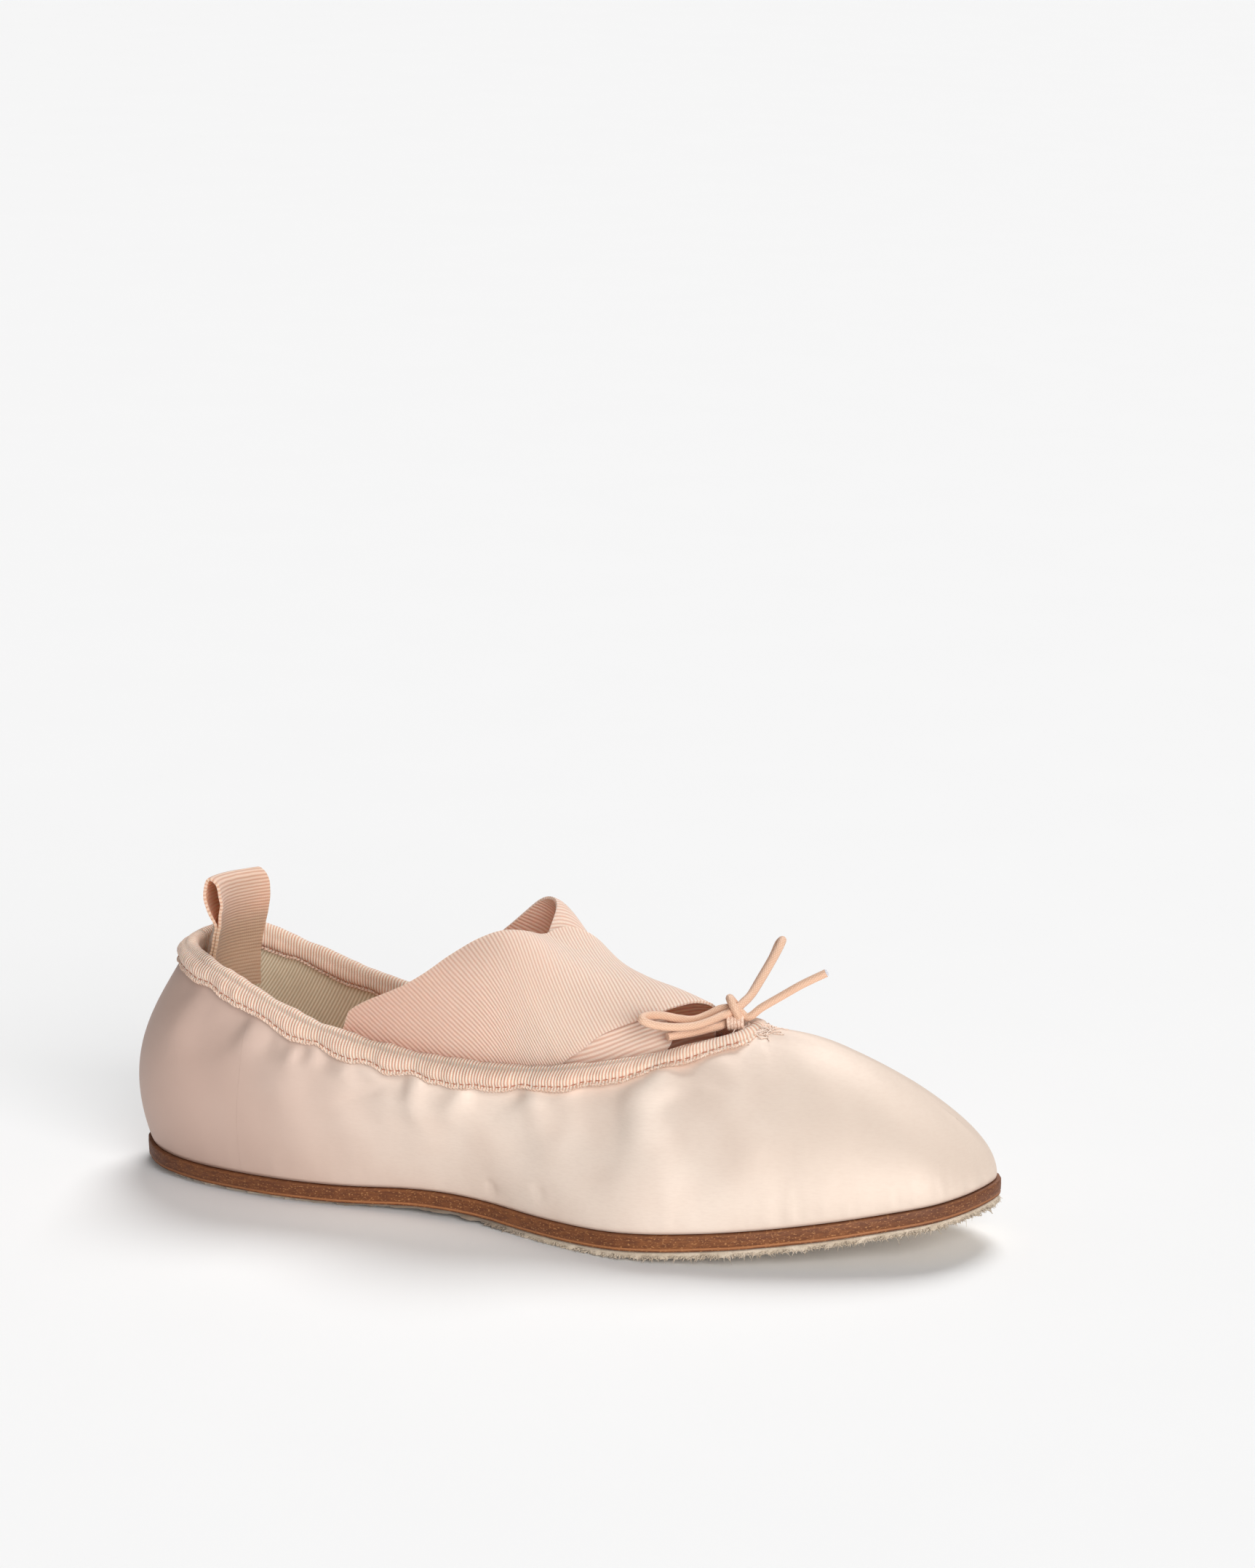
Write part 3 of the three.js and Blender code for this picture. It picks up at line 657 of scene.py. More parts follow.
def lining_finish():
    lining = Finish("lining", Sheen_Weight=0.1)
    lap, height = lining.lay()
    along = lining.along_shoe()
    twill = (lap + height * 0.5).ripple(1.15)
    smooth_part = along.step(-42, -41.2)
    smooth = lining.mix(lining.noise(6), srgb(236, 226, 202), srgb(224, 210, 184))
    front = along.step(8, 10)
    # The front lining is tan leather, painted brighter than its own colour as painted light on this shaded
    # inner wall.
    leather = lining.mix(lining.noise(5, 4), srgb(255, 172, 110), srgb(250, 150, 90))
    lining.paint(twill * 0.9, (248, 238, 212), (196, 176, 142), [
        (lining.noise(9, 3).step(0.45, 0.8) * 0.3, (196, 176, 146)),
        (smooth_part, smooth),
        (front, leather),
    ])
    lining.set(Roughness=0.85 - front * 0.25)
    lining.relief(twill * (1 - smooth_part) * 0.16 + lining.noise(0.8, 2) * 0.03)
    return lining.material


def ribbed_finish(name, colours, pitch, depth, cross_pitch, roughness, lower_colour=None, rear=None):
    """Ribbed tape or elastic: ribs across the band, each a row of small loops.

    The colours are those of ridge, groove and a darker tone for the knit's loops and patches. lower_colour is
    its colour low down, and rear is its colour towards the heel, a painted shade.
    """
    band = Finish(name, Sheen_Weight=0.15, Sheen_Roughness=0.5, Subsurface_Weight=0.4,
                  Subsurface_Radius=(1.0, 0.62, 0.48), Subsurface_Scale=3 * MM)
    ridge, groove, shade = colours
    along, across = band.lay()
    rib = (along + band.noise(6, 2) * 0.35).ripple(pitch)
    loops = (across + along * 0.4).ripple(cross_pitch)
    fuzz = band.noise(0.3, 2)
    coats = [
        (loops * rib * 0.16 + fuzz * 0.1, shade),
        (band.noise(14, 2).step(0.4, 0.75) * 0.22, shade),
    ]
    # Darker and browner towards the bottom of the band.
    if lower_colour:
        coats.append(((1 - band.height_in_shoe().step(62, 77)) * 0.85, lower_colour))
    # Painted shade: the band is painted darker towards the heel, where it turns away from the light.
    if rear:
        coats.append(((1 - band.along_shoe().step(-52, 14)) * 0.6, rear))
    band.paint(rib ** 0.8, groove, ridge, coats)
    band.set(Roughness=roughness - rib * 0.08 + fuzz * 0.05)
    band.relief(rib ** 0.7 * depth + loops * rib * depth * 0.28 + fuzz * 0.03)
    return band.material


def cord_finish():
    cord = Finish("elastic_cord", Sheen_Weight=0.2)
    along, around = cord.lay()
    braid = (along * 1.3 + around * 2.0).ripple(1.4) * (along * 1.3 - around * 2.0).ripple(1.4)
    cord.paint(braid, (224, 180, 150), (245, 212, 186), [
        (cord.noise(7, 2).step(0.4, 0.8) * 0.35, (218, 172, 142)),
    ])
    cord.set(Roughness=0.55 + braid * 0.15)
    cord.relief(braid * 0.07 + cord.noise(0.4, 2) * 0.02)
    return cord.material


def sole_leather_finish():
    leather = Finish("sole_leather")
    along, up = leather.lay()
    along_sole = leather.along_shoe()
    streaks = leather.node("CombineXYZ", sockets={0: along / 3.2, 1: up * 1.3, 2: 0.0})
    fibre = leather.noise(1.0, 4, vector=streaks)
    spots = leather.node("CombineXYZ", sockets={0: along / 1.7, 1: up, 2: 3.0})
    speck = leather.noise(0.42, 3, vector=spots)
    # Painted highlight: a lighter band along the bevel near the bottom edge; the relief sinks the same band a
    # little.
    painted_highlight_band = up.step(0.35, 0.6) * (1 - up.step(0.85, 1.15))
    # Painted light: the rim's top face is painted lighter, against the shade it lies in under the upper.
    top = up.step(OUTSOLE_THICKNESS - 0.55, OUTSOLE_THICKNESS - 0.1)
    # Painted shade: the edge is painted darker at the toe, where it turns away from the light.
    toe = along_sole.step(96, 120)
    # Painted shade: the edge is painted darker towards the heel, away from the light.
    heel = 1 - along_sole.step(-105, -25)
    leather.paint(leather.noise(20, 2).step(0.35, 0.7), (117, 65, 29), (135, 79, 38), [
        (fibre.step(0.42, 0.62) * 0.65, (94, 48, 22)),
        (speck.step(0.56, 0.68) * 0.8, (186, 130, 80)),
        (painted_highlight_band * 0.75, (184, 120, 74)),
        (top * 0.4, (156, 100, 62)),
        (toe * 0.3, (72, 36, 20)),
        (heel * 0.4, (66, 30, 12)),
    ])
    leather.set(Roughness=0.55 + fibre * 0.2)
    leather.relief(fibre * 0.1 + speck * 0.08 - painted_highlight_band * 0.12)
    return leather.material


def suede_finish():
    suede = Finish("suede", Sheen_Weight=0.25)
    along = suede.along_shoe()
    nap = suede.noise(0.5, 4)
    patches = suede.noise(7, 3)
    # Painted shade: the tread is painted darker under the waist, where the arch lifts it off the floor.
    waist_painted_shade = along.step(-75, -45) * (1 - along.step(-8, 14))
    # The cream ground is the suede's own colour, taken somewhat darker as painted shade.
    suede.paint(patches.step(0.35, 0.7), (200, 183, 161), (220, 204, 184), [
        (nap.step(0.45, 0.75) * 0.5, (182, 160, 136)),
        (waist_painted_shade * 0.75, (122, 102, 86)),
    ])
    suede.set(Roughness=0.9 + nap * 0.1)
    suede.relief(nap * 0.16 + patches * 0.1)
    return suede.material


def insole_finish():
    leather = Finish("insole_leather")
    grain = leather.noise(0.9, 4)
    # Tan leather, painted brighter than its own colour as painted light on the shaded insole.
    leather.paint(leather.noise(16, 3).step(0.3, 0.7), (230, 130, 78), (248, 150, 94), [
        (grain.step(0.5, 0.75) * 0.4, (190, 98, 56)),
    ])
    leather.set(Roughness=0.5 + grain * 0.2)
    leather.relief(grain * 0.08)
    return leather.material


def thread_finish(name, light, dark):
    thread = Finish(name, Roughness=0.7)
    twist = thread.noise(0.35, 2)
    thread.paint(twist.step(0.35, 0.7), light, dark, [])
    thread.relief(twist * 0.05)
    return thread.material


FINISHES = {
    "satin": satin_finish(),
    "lining": lining_finish(),
    "tape": ribbed_finish(
        "tape", [(255, 236, 218), (225, 164, 136), (252, 211, 185)],
        pitch=0.86, depth=0.19, cross_pitch=0.6, roughness=0.75),
    "elastic": ribbed_finish(
        "elastic", [(249, 221, 204), (221, 177, 156), (236, 201, 182)],
        # rear: painted shade on the strap towards the heel.
        pitch=1.0, depth=0.14, cross_pitch=0.75, roughness=0.8, rear=(200, 157, 137)),
    "loop_tape": ribbed_finish(
        "loop_tape", [(242, 206, 184), (206, 156, 130), (222, 180, 155)],
        pitch=1.0, depth=0.12, cross_pitch=0.6, roughness=0.75, lower_colour=(172, 142, 114)),
    # Painted light: the loop's inner face is a brighter, more orange copy of the loop tape, standing in for
    # light inside the shaded loop.
    "loop_inside_painted_light": ribbed_finish(
        "loop_inside_painted_light", [(255, 206, 168), (240, 170, 128), (250, 190, 150)],
        pitch=1.0, depth=0.14, cross_pitch=0.6, roughness=0.75),
    "cord": cord_finish(),
    "sole_leather": sole_leather_finish(),
    "suede": suede_finish(),
    "insole": insole_finish(),
    "stitch": thread_finish("stitch", (204, 140, 112), (166, 100, 76)),
    "edge_thread": thread_finish("edge_thread", (246, 222, 203), (216, 174, 148)),
    "fray": thread_finish("fray", (255, 238, 224), (244, 214, 194)),
    "cord_core": thread_finish("cord_core", (226, 226, 232), (190, 188, 196)),
}


# Meshes
def make_piece(name, finishes, points, faces, lay, finish_of_face=None, sharp=None):
    """A piece from places in the shoe's millimetres; lay gives each place's distances on the piece."""
    mesh = bpy.data.meshes.new(name)
    mesh.from_pydata(in_frame(points).tolist(), [], [list(face) for face in faces])
    for finish in finishes:
        mesh.materials.append(FINISHES[finish])
    mesh.polygons.foreach_set("use_smooth", np.ones(len(mesh.polygons), bool))
    if finish_of_face is not None:
        mesh.polygons.foreach_set("material_index", np.asarray(finish_of_face, np.int32))
    corners = np.zeros(len(mesh.loops), np.int32)
    mesh.loops.foreach_get("vertex_index", corners)
    layer = mesh.uv_layers.new(name="lay")
    layer.data.foreach_set("uv", np.asarray(lay, np.float32)[corners].ravel())
    if sharp:
        mesh.set_sharp_from_angle(angle=math.radians(sharp))
    mesh.update()
    piece = put_in_scene(name, mesh)
    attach(piece, "root")
    return piece


def lay_of(along, across):
    """Distances along and across a grid of places, one row for each place."""
    return np.stack(np.broadcast_arrays(along, across), axis=-1).reshape(-1, 2)


def grid_faces(rows, columns, first=0, wrap_rows=False, wrap_columns=False, flip=False):
    """Four-cornered faces of a grid of places numbered row by row."""
    r = np.arange(rows if wrap_rows else rows - 1)
    c = np.arange(columns if wrap_columns else columns - 1)
    r, c = (a.ravel() for a in np.meshgrid(r, c, indexing="ij"))
    r1, c1 = (r + 1) % rows, (c + 1) % columns
    corners = [r * columns + c, r1 * columns + c, r1 * columns + c1, r * columns + c1]
    faces = np.stack(corners, axis=1) + first
    return faces[:, ::-1] if flip else faces


def sheet_faces(rows, columns):
    """Faces of a thin sheet of two grids, one numbered after the other: its sides, then its edges."""
    count = rows * columns
    long_edge = np.arange(rows - 1) * columns
    short_edge = np.arange(columns - 1)
    faces = [grid_faces(rows, columns), grid_faces(rows, columns, first=count, flip=True)]
    for edge, step, flip in (
            (long_edge, columns, False), (long_edge + columns - 1, columns, True),
            (short_edge, 1, True), (short_edge + (rows - 1) * columns, 1, False)):
        rim = np.stack([edge, edge + count, edge + step + count, edge + step], axis=1)
        faces.append(rim[:, ::-1] if flip else rim)
    return faces


def weld(piece, distance=2e-6):
    """Joins places that meet, such as the two sides along the vamp's ridge."""
    work = bmesh.new()
    work.from_mesh(piece.data)
    bmesh.ops.remove_doubles(work, verts=work.verts, dist=distance)
    work.to_mesh(piece.data)
    work.free()
    piece.data.update()


def tube(route, radius, sides=12):
    """Places, faces and lay of a round tube along a route, with closed ends."""
    route = np.asarray(route, float)
    radius = np.broadcast_to(np.asarray(radius, float), (len(route),))
    ahead = unit(np.gradient(route, axis=0))
    side = np.cross(ahead[0], (0.3, 0.2, 1.0))
    frames = []
    for direction in ahead:
        side = side - direction * np.dot(side, direction)
        side = side / np.linalg.norm(side)
        frames.append((side, np.cross(direction, side)))
    angle = np.linspace(0, TAU, sides + 1)
    ring = np.stack([np.cos(angle), np.sin(angle)], axis=1)
    points = np.concatenate([
        place + (ring[:, :1] * a + ring[:, 1:] * b) * r
        for place, (a, b), r in zip(route, frames, radius)
    ])
    faces = [tuple(face) for face in grid_faces(len(route), sides + 1, flip=True)]
    for row, turn in ((0, 1), (len(route) - 1, -1)):
        end = [row * (sides + 1) + k for k in range(sides)]
        faces.append(tuple(end[::turn]))
    return points, faces, lay_of(lengths_along(route)[:, None], angle * CORD_DIAMETER / 2)


def joined(parts):
    """Many small meshes as one: places, faces and lay."""
    points, faces, lays, count = [], [], [], 0
    for part_points, part_faces, part_lay in parts:
        points.append(part_points)
        faces.extend(tuple(int(i) + count for i in face) for face in part_faces)
        lays.append(part_lay)
        count += len(part_points)
    return np.concatenate(points), faces, np.concatenate(lays)


# Drawstring bow: each cord makes one loop, runs through the knot and ends on the other side
CORD_RADIUS = CORD_DIAMETER / 2
CORD_SHARP = 50
KNOT_WRAP = {
    "middle": (51.1, 3.2, 58.5), "down": (1.85, 0.05, -2.7), "toward": (1.0, -2.3, 0.7), "advance": 0.9,
}
WINDING = {
    "middle": (50.2, 1.6, 55.2), "down": (0.3, 0, -1.7), "toward": (0.6, -2.1, 0.4), "advance": 0.45,
}
WINDINGS = {"count": 5, "step": (0.85, 0.3, 0), "radius": 0.52}
CORE = {"along": (-0.4, 0.05, 0.35, 0.5), "radius": [1.0, 1.0, 0.8, 0.3]}
CORD_ROUTES = {
    "bow_cord_left": [(51.4, 2.4, 58.4), *LEFT_LOOP, (51.4, 3.6, 58.6), *RIGHT_END],
    "bow_cord_right": [(51.6, 3.4, 58.8), *RIGHT_LOOP, (50.6, 4.8, 57.2), *LEFT_END],
}
CORD_NODES = {
    "bow_cord_left": ("bow_loop_left", "bow_end_right"),
    "bow_cord_right": ("bow_loop_right", "bow_end_left"),
}


def slanted_turn(middle, down, toward, advance):
    """One turn round a bundle, passing over its front along the given direction."""
    down, toward = np.array(down, float), np.array(toward, float)
    axis = unit(np.cross(down, toward))
    t = np.linspace(0, 1, 41)[:, None]
    turn = np.array(middle) - toward * np.cos(TAU * t) - down * np.sin(TAU * t)
    return turn + axis * advance * (t - 0.5) * 2


def make_bow():
    wrap = tube(slanted_turn(**KNOT_WRAP), CORD_RADIUS)
    knot = make_piece("bow_knot_wrap", ["cord"], *wrap, sharp=CORD_SHARP)
    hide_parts("bow_knot")
    windings = []
    for k in range(WINDINGS["count"]):
        middle = np.add(WINDING["middle"], np.multiply(WINDINGS["step"], k))
        windings.append(tube(slanted_turn(**{**WINDING, "middle": middle}), WINDINGS["radius"], sides=8))
    bar = make_piece("knot_windings", ["edge_thread"], *joined(windings))
    for name, places in CORD_ROUTES.items():
        route = smooth_route(places)
        cord = make_piece(name, ["cord"], *tube(route, CORD_RADIUS), sharp=CORD_SHARP)
        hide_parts(*CORD_NODES[name])
    before, tip = np.array(RIGHT_END[-2:])
    core_route = tip + unit(tip - before) * np.array(CORE["along"])[:, None]
    core_tube = tube(core_route, CORE["radius"], sides=10)
    core = make_piece("cord_core", ["cord_core"], *core_tube, sharp=CORD_SHARP)


make_bow()


# Upper
SIDE_STEPS = {"open": 190, "closed": 70}
WALL_STEPS = 62
COLLAR_SAMPLES = 1500
PINCH_WIDTH = 4.2
PUCKER = {"width": 2.6, "spread": 0.28, "fade": 11, "swell": 0.8, "hollow": 0.55, "beside": 1.9, "round": 0.7}
# The satin's waves run along the shoe, plus this share of the distance across it.
LEAN_ROUND = 0.6
SOFT_FOLDS = {"waves": [(34, 0.42), (19, 0.18)], "lean": 0.35, "toe": (40, 70), "toe_loss": 0.8}
TOE_GATHERS = {"waves": [(7.5, 0.16), (4.2, 0.12)], "fade": 5, "toe": (20, 70), "heel_share": 0.35}
HEEL_SEAM = {"depth": 0.35, "width": 1.1, "lay_end": -80, "groove_end": -90, "off_seam": 99}
UNDER_BINDING = 6.2
CLOSING_TURN = 0.06
RIDGE_FADE = 0.25
FOOT_FADE = 0.05
TOE_CROWN = {"outward": np.array([0.56, 0, 0.83]), "turn": (0.94, 0.98), "rise": (0.55, 0.8)}
EASE = {
    "throat": 0.035, "throat_top": (0.65, 0.9), "toe": (0.91, 0.97), "toe_top": (0.85, 1),
    "reach": 12, "spread": 5,
}
open_turns = np.linspace(0, THROAT_TURN, SIDE_STEPS["open"] + 1)
closed_turns = np.linspace(THROAT_TURN, 1, SIDE_STEPS["closed"] + 1)
side_turns = np.concatenate([open_turns, closed_turns[1:]])
upper_laps = both_sides(side_turns)


class CollarLine:
    """The collar edge of one side from heel to throat: distance along it and how drawn in it is."""

    def __init__(self, side):
        self.turns = np.linspace(0, 1, COLLAR_SAMPLES)
        places = collar_place(np.full(COLLAR_SAMPLES, side == "lateral"), self.turns)
        self.far = lengths_along(places)
        self.length = self.far[-1]
        spots = np.array(GATHERS[side], float)
        self.spots = np.interp(spots[:, 0], places[:, 0], self.far)
        self.strength = spots[:, 1]

    def pinch(self, distance):
        reach = np.asarray(distance, float)[..., None] - self.spots
        return np.clip((self.strength * np.exp(-((reach / PINCH_WIDTH) ** 2))).sum(axis=-1), 0, 1)

    def puckers(self, collar_turn, below):
        """Satin swelling out under each gather, with a soft hollow on each side of it."""
        distance = np.interp(collar_turn, self.turns, self.far)
        reach = (distance[..., None] - self.spots) / (PUCKER["width"] + below[..., None] * PUCKER["spread"])
        fade = np.exp(-below / PUCKER["fade"])[..., None]
        swell = PUCKER["swell"] * np.exp(-(reach**2))
        hollow = PUCKER["hollow"] * np.exp(-((np.abs(reach) - PUCKER["beside"]) ** 2) / PUCKER["round"])
        return (self.strength * (swell - hollow) * fade).sum(axis=-1)


collar_lines = {side: CollarLine(side) for side in GATHERS}
throat_far = collar_lines["lateral"].length


def crease_relief(x, z, lateral):
    """The listed creases, as heights off the wall; each bows a little and fades at its ends."""
    total = np.zeros_like(x)
    for side, creases in CREASES.items():
        here = lateral if side == "lateral" else ~lateral
        for top, foot, height, width in creases:
            run = np.subtract(foot, top)
            length = np.linalg.norm(run)
            run = run / length
            along = ((x - top[0]) * run[0] + (z - top[1]) * run[1]) / length
            off = (x - top[0]) * run[1] - (z - top[1]) * run[0]
            part = np.clip(along, 0, 1)
            bend = CREASE["bow"] * length * np.sin(np.pi * part) * np.sign(height)
            fade = smoothstep(along, *CREASE["appear"]) * (1 - smoothstep(along, *CREASE["fade"]))
            widen = width * lerp(*CREASE["widen"], part)
            form = CREASE["gain"] * height * np.exp(-(((off - bend) / widen) ** 2)) * fade
            total += np.where(here, form, 0)
    return total


def satin_relief(lap, height, places, lengths):
    """How far the satin stands off the wall's smooth face, in millimetres."""
    lateral, turn = side_of_lap(lap)
    below = (1 - height) * lengths
    collar_turn = meeting_at(turn)["turn"]
    swells = {side: line.puckers(collar_turn, below) for side, line in collar_lines.items()}
    puckers = np.where(lateral, swells["lateral"], swells["medial"])
    x, z = places[..., 0], places[..., 2]
    around = sole_edge(lap)
    far = around[..., 0] + around[..., 1] * LEAN_ROUND
    soft = waves(far + z * SOFT_FOLDS["lean"], SEEDS["soft_folds"], SOFT_FOLDS["waves"])
    soft = soft * np.sin(np.pi * np.clip(height, 0, 1))
    soft = soft * (1 - SOFT_FOLDS["toe_loss"] * smoothstep(x, *SOFT_FOLDS["toe"]))
    gathered = waves(far, SEEDS["toe_gathers"], TOE_GATHERS["waves"])
    gathered = gathered * np.exp(-height * lengths / TOE_GATHERS["fade"])
    gathered = gathered * lerp(TOE_GATHERS["heel_share"], 1, smoothstep(x, *TOE_GATHERS["toe"]))
    closing = smoothstep(turn, THROAT_TURN - CLOSING_TURN, THROAT_TURN)
    relief = puckers * (1 - closing) + crease_relief(x, z, lateral) + soft + gathered
    near_binding = np.exp(-((below / UNDER_BINDING) ** 4)) * (1 - closing)
    relief = np.where(relief > 0, relief * (1 - near_binding), relief)
    ridge_fade = lerp(1, smoothstep(1 - height, 0, RIDGE_FADE), closing)
    foot_fade = smoothstep(height, 0, FOOT_FADE)
    groove = HEEL_SEAM["depth"] * np.exp(-((around[..., 1] / HEEL_SEAM["width"]) ** 2))
    relief = relief * ridge_fade * foot_fade - groove * (x < HEEL_SEAM["groove_end"])
    return np.where(relief < 0, TROUGH_LIMIT * np.tanh(relief / TROUGH_LIMIT), relief)


def surface_normals(places):
    """Outward direction at each place of the upper's grid, even across the vamp's ridge."""
    around = np.roll(places, -1, axis=0) - np.roll(places, 1, axis=0)
    normals = unit(np.cross(around, np.gradient(places, axis=1)))
    closed = np.arange(SIDE_STEPS["open"], len(side_turns) - 1)
    other = len(upper_laps) - closed
    crown = unit(normals[closed, -2] + normals[other, -2])
    normals[closed, -1] = crown
    normals[other, -1] = crown
    turns = side_of_lap(upper_laps)[1][:, None]
    rise = np.linspace(0, 1, places.shape[1])[None, :]
    near_toe = (smoothstep(turns, *TOE_CROWN["turn"]) * smoothstep(rise, *TOE_CROWN["rise"]))[..., None]
    return unit(lerp(normals, TOE_CROWN["outward"], near_toe))


def eased(places, lap, height):
    """The wall made even where the vamp closes, below the binding, and across the toe's middle."""
    turn = side_of_lap(lap)[1]
    throat = np.exp(-(((turn - THROAT_TURN) / EASE["throat"]) ** 2))
    throat = throat * (1 - smoothstep(height, *EASE["throat_top"]))
    toe = smoothstep(turn, *EASE["toe"]) * (1 - smoothstep(height, *EASE["toe_top"]))
    even = averaged(places, EASE["reach"], EASE["spread"])
    return lerp(places, even, np.maximum(throat, toe)[..., None])


def make_upper():
    """The satin upper and its lining as one wall; gives the places of the satin."""
    lap, height = np.meshgrid(upper_laps, np.linspace(0, 1, WALL_STEPS + 1), indexing="ij")
    places = eased(wall_points(lap, height), lap, height)
    normals = surface_normals(places)
    risen = lengths_across(places)
    outer = places + normals * satin_relief(lap, height, places, risen[:, -1:])[..., None]
    inner = places - normals * WALL
    edge = sole_edge(upper_laps)
    lateral, turn = side_of_lap(upper_laps)
    signed = np.where(lateral, -1, 1) * np.abs(edge[:, 1])
    from_seam = np.where(edge[:, 0] < HEEL_SEAM["lay_end"], signed, HEEL_SEAM["off_seam"])
    lay = [lay_of(along[:, None], risen) for along in (from_seam, lengths_along(edge))]
    rows, columns = lap.shape
    count = rows * columns
    satin = grid_faces(rows, columns, wrap_rows=True)
    lining = grid_faces(rows, columns, first=count, wrap_rows=True, flip=True)
    foot = np.arange(rows) * columns
    after = np.roll(foot, -1)
    foot_rim = np.stack([foot + count, after + count, after, foot], axis=1)
    opened = is_open(turn) | is_open(np.roll(turn, -1))
    top, after_top = foot[opened] + columns - 1, after[opened] + columns - 1
    top_rim = np.stack([top, after_top, after_top + count, top + count], axis=1)
    faces = np.concatenate([satin, lining, foot_rim, top_rim])
    is_lining = np.repeat([0, 1, 0], [len(satin), len(lining), len(foot_rim) + len(top_rim)])
    points = np.concatenate([outer.reshape(-1, 3), inner.reshape(-1, 3)])
    piece = make_piece("satin_upper", ["satin", "lining"], points, faces, np.concatenate(lay), is_lining)
    weld(piece)
    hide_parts("upper")
    return outer.reshape(-1, 3)


satin_places = make_upper()


# Collar binding
BINDING_STEP = 0.34
PICOT = {"pitch": 1.25, "depth": 0.22}
DRAWN_IN = 1.5
# The two faces of the tape: side of the wall, base off the wall's outer face, depth down the wall and what
# loose tape adds to it, the puff at a gather with what full, loose and folded tape add, and the rings of
# places across the face with the distance between them.
TAPE_FACES = {
    "outer": {"side": 1, "base": BINDING_GAP, "depth": 6.1, "loose_depth": 0.45,
              "puff": 0.4, "full": 0.9, "loose": 0.25, "folds": 1.0, "rings": 15, "ring_step": 0.53},
    "inner": {"side": -1, "base": -(WALL + BINDING_GAP), "depth": 5.8, "loose_depth": -0.35,
              "puff": 0.3, "full": 0.6, "loose": 0.2, "folds": 0.5, "rings": 10, "ring_step": 0.7},
}
FACE_START = 0.55
EDGE_ROUND = 0.12
FACE_CLEAR = 0.02
LOOSE_TAPE = [(13, 0.5), (6, 0.25)]
TAPE_FOLDS = [(5.2, 0.1), (2.9, 0.05)]
TAPE_SWELL = {"lean": 1.12, "power": 0.8, "end": 0.89}
CREST = {"throat_share": 0.5, "full": 0.4, "loose": 0.35}
THROAT_FLAT = {"share": 0.85, "reach": 5.5}
THROAT_ROUND = {"spread": 5.0, "reach": 12.5, "near": (5, 16)}
THROAT_CLEAR = 6
STITCH_PULL = {"share": 0.55, "reach": 0.09}
STITCH = {
    "share": 0.8, "sink": 0.15, "lift": 0.03, "pitch": 2.1, "length": 1.4, "radius": 0.17,
    "margin": 3, "slant": 0,
}
EDGE_LOOP = {
    "share": 1, "sink": -0.1, "lift": 0.1, "pitch": 1.1, "length": 1.25, "radius": 0.4,
    "margin": 1, "slant": 0.75,
}
EDGE_LOOP_RISE = 0.55
THREAD_TAPER = (0.45, 1, 1, 0.45)
TURN_SAMPLES = 3000
WALL_SAMPLES = 41
BELOW_EDGE = 1 - 1e-7


def laps_under(side, collar_turns):
    """Laps of the wall that meet one side's collar at the given turns."""
    sole_turns = np.linspace(0, THROAT_TURN, TURN_SAMPLES)
    sole_turn = np.interp(collar_turns, meeting_at(sole_turns)["turn"], sole_turns)
    lap = sole_turn / 2 if side == "lateral" else 1 - sole_turn / 2
    return np.minimum(lap, 1.0)


def binding_spot(lap, below, off):
    """A place of the tape: a distance down the wall, or past its edge, and off its outer face."""
    fine = np.linspace(0, 1, WALL_SAMPLES)
    risen = lengths_across(wall_points(*np.meshgrid(lap, fine, indexing="ij")))
    spots = []
    for j in range(below.shape[1]):
        want = risen[:, -1] - np.maximum(below[:, j], 0)
        height = np.array([np.interp(w, row, fine) for w, row in zip(want, risen)])
        height = np.minimum(height, BELOW_EDGE)
        place = wall_points(lap, height) + wall_normals(lap, height) * off[:, j, None]
        past = np.maximum(-below[:, j], 0)[:, None]
        spots.append(place + wall_tangents(lap, np.ones_like(lap)) * past)
    return np.stack(spots, axis=1)


def binding_rows():
    """Laps along the collar from heel by the lateral side to the throat and back, with distance and pinch."""
    laps, distance, pinch = [], [], []
    for side, line in collar_lines.items():
        far = np.linspace(0, line.length, int(line.length / BINDING_STEP))
        lap = laps_under(side, np.interp(far, line.far, line.turns))
        held = line.pinch(far)
        if side == "medial":
            lap, held, far = (row[::-1][1:-1] for row in (lap, held, line.length - far))
            far = throat_far + far
        laps.append(lap)
        distance.append(far)
        pinch.append(held)
    return np.concatenate(laps), np.concatenate(distance), np.concatenate(pinch)


def rounded_throat(places, lap, far):
    """The tape turns smoothly round the throat instead of folding there."""
    edge = wall_points(lap, np.ones_like(lap))[:, None]
    arms = places - edge
    soft = averaged(arms, int(THROAT_ROUND["reach"] / BINDING_STEP), THROAT_ROUND["spread"], BINDING_STEP)
    near = (1 - smoothstep(np.abs(far - throat_far), *THROAT_ROUND["near"]))[:, None, None]
    return edge + lerp(arms, soft, near)


def tape_rise(t, puff):
    """How far the tape's face stands off at a share of its depth; the stitches draw it in near its edge."""
    sewn = 1 - STITCH_PULL["share"] * math.exp(-(((t - STITCH["share"]) / STITCH_PULL["reach"]) ** 2))
    swell = 0
    if t < TAPE_SWELL["end"]:
        swell = math.sin(math.pi * min(1, t * TAPE_SWELL["lean"])) ** TAPE_SWELL["power"]
    return BINDING_THICKNESS * sewn + puff * swell


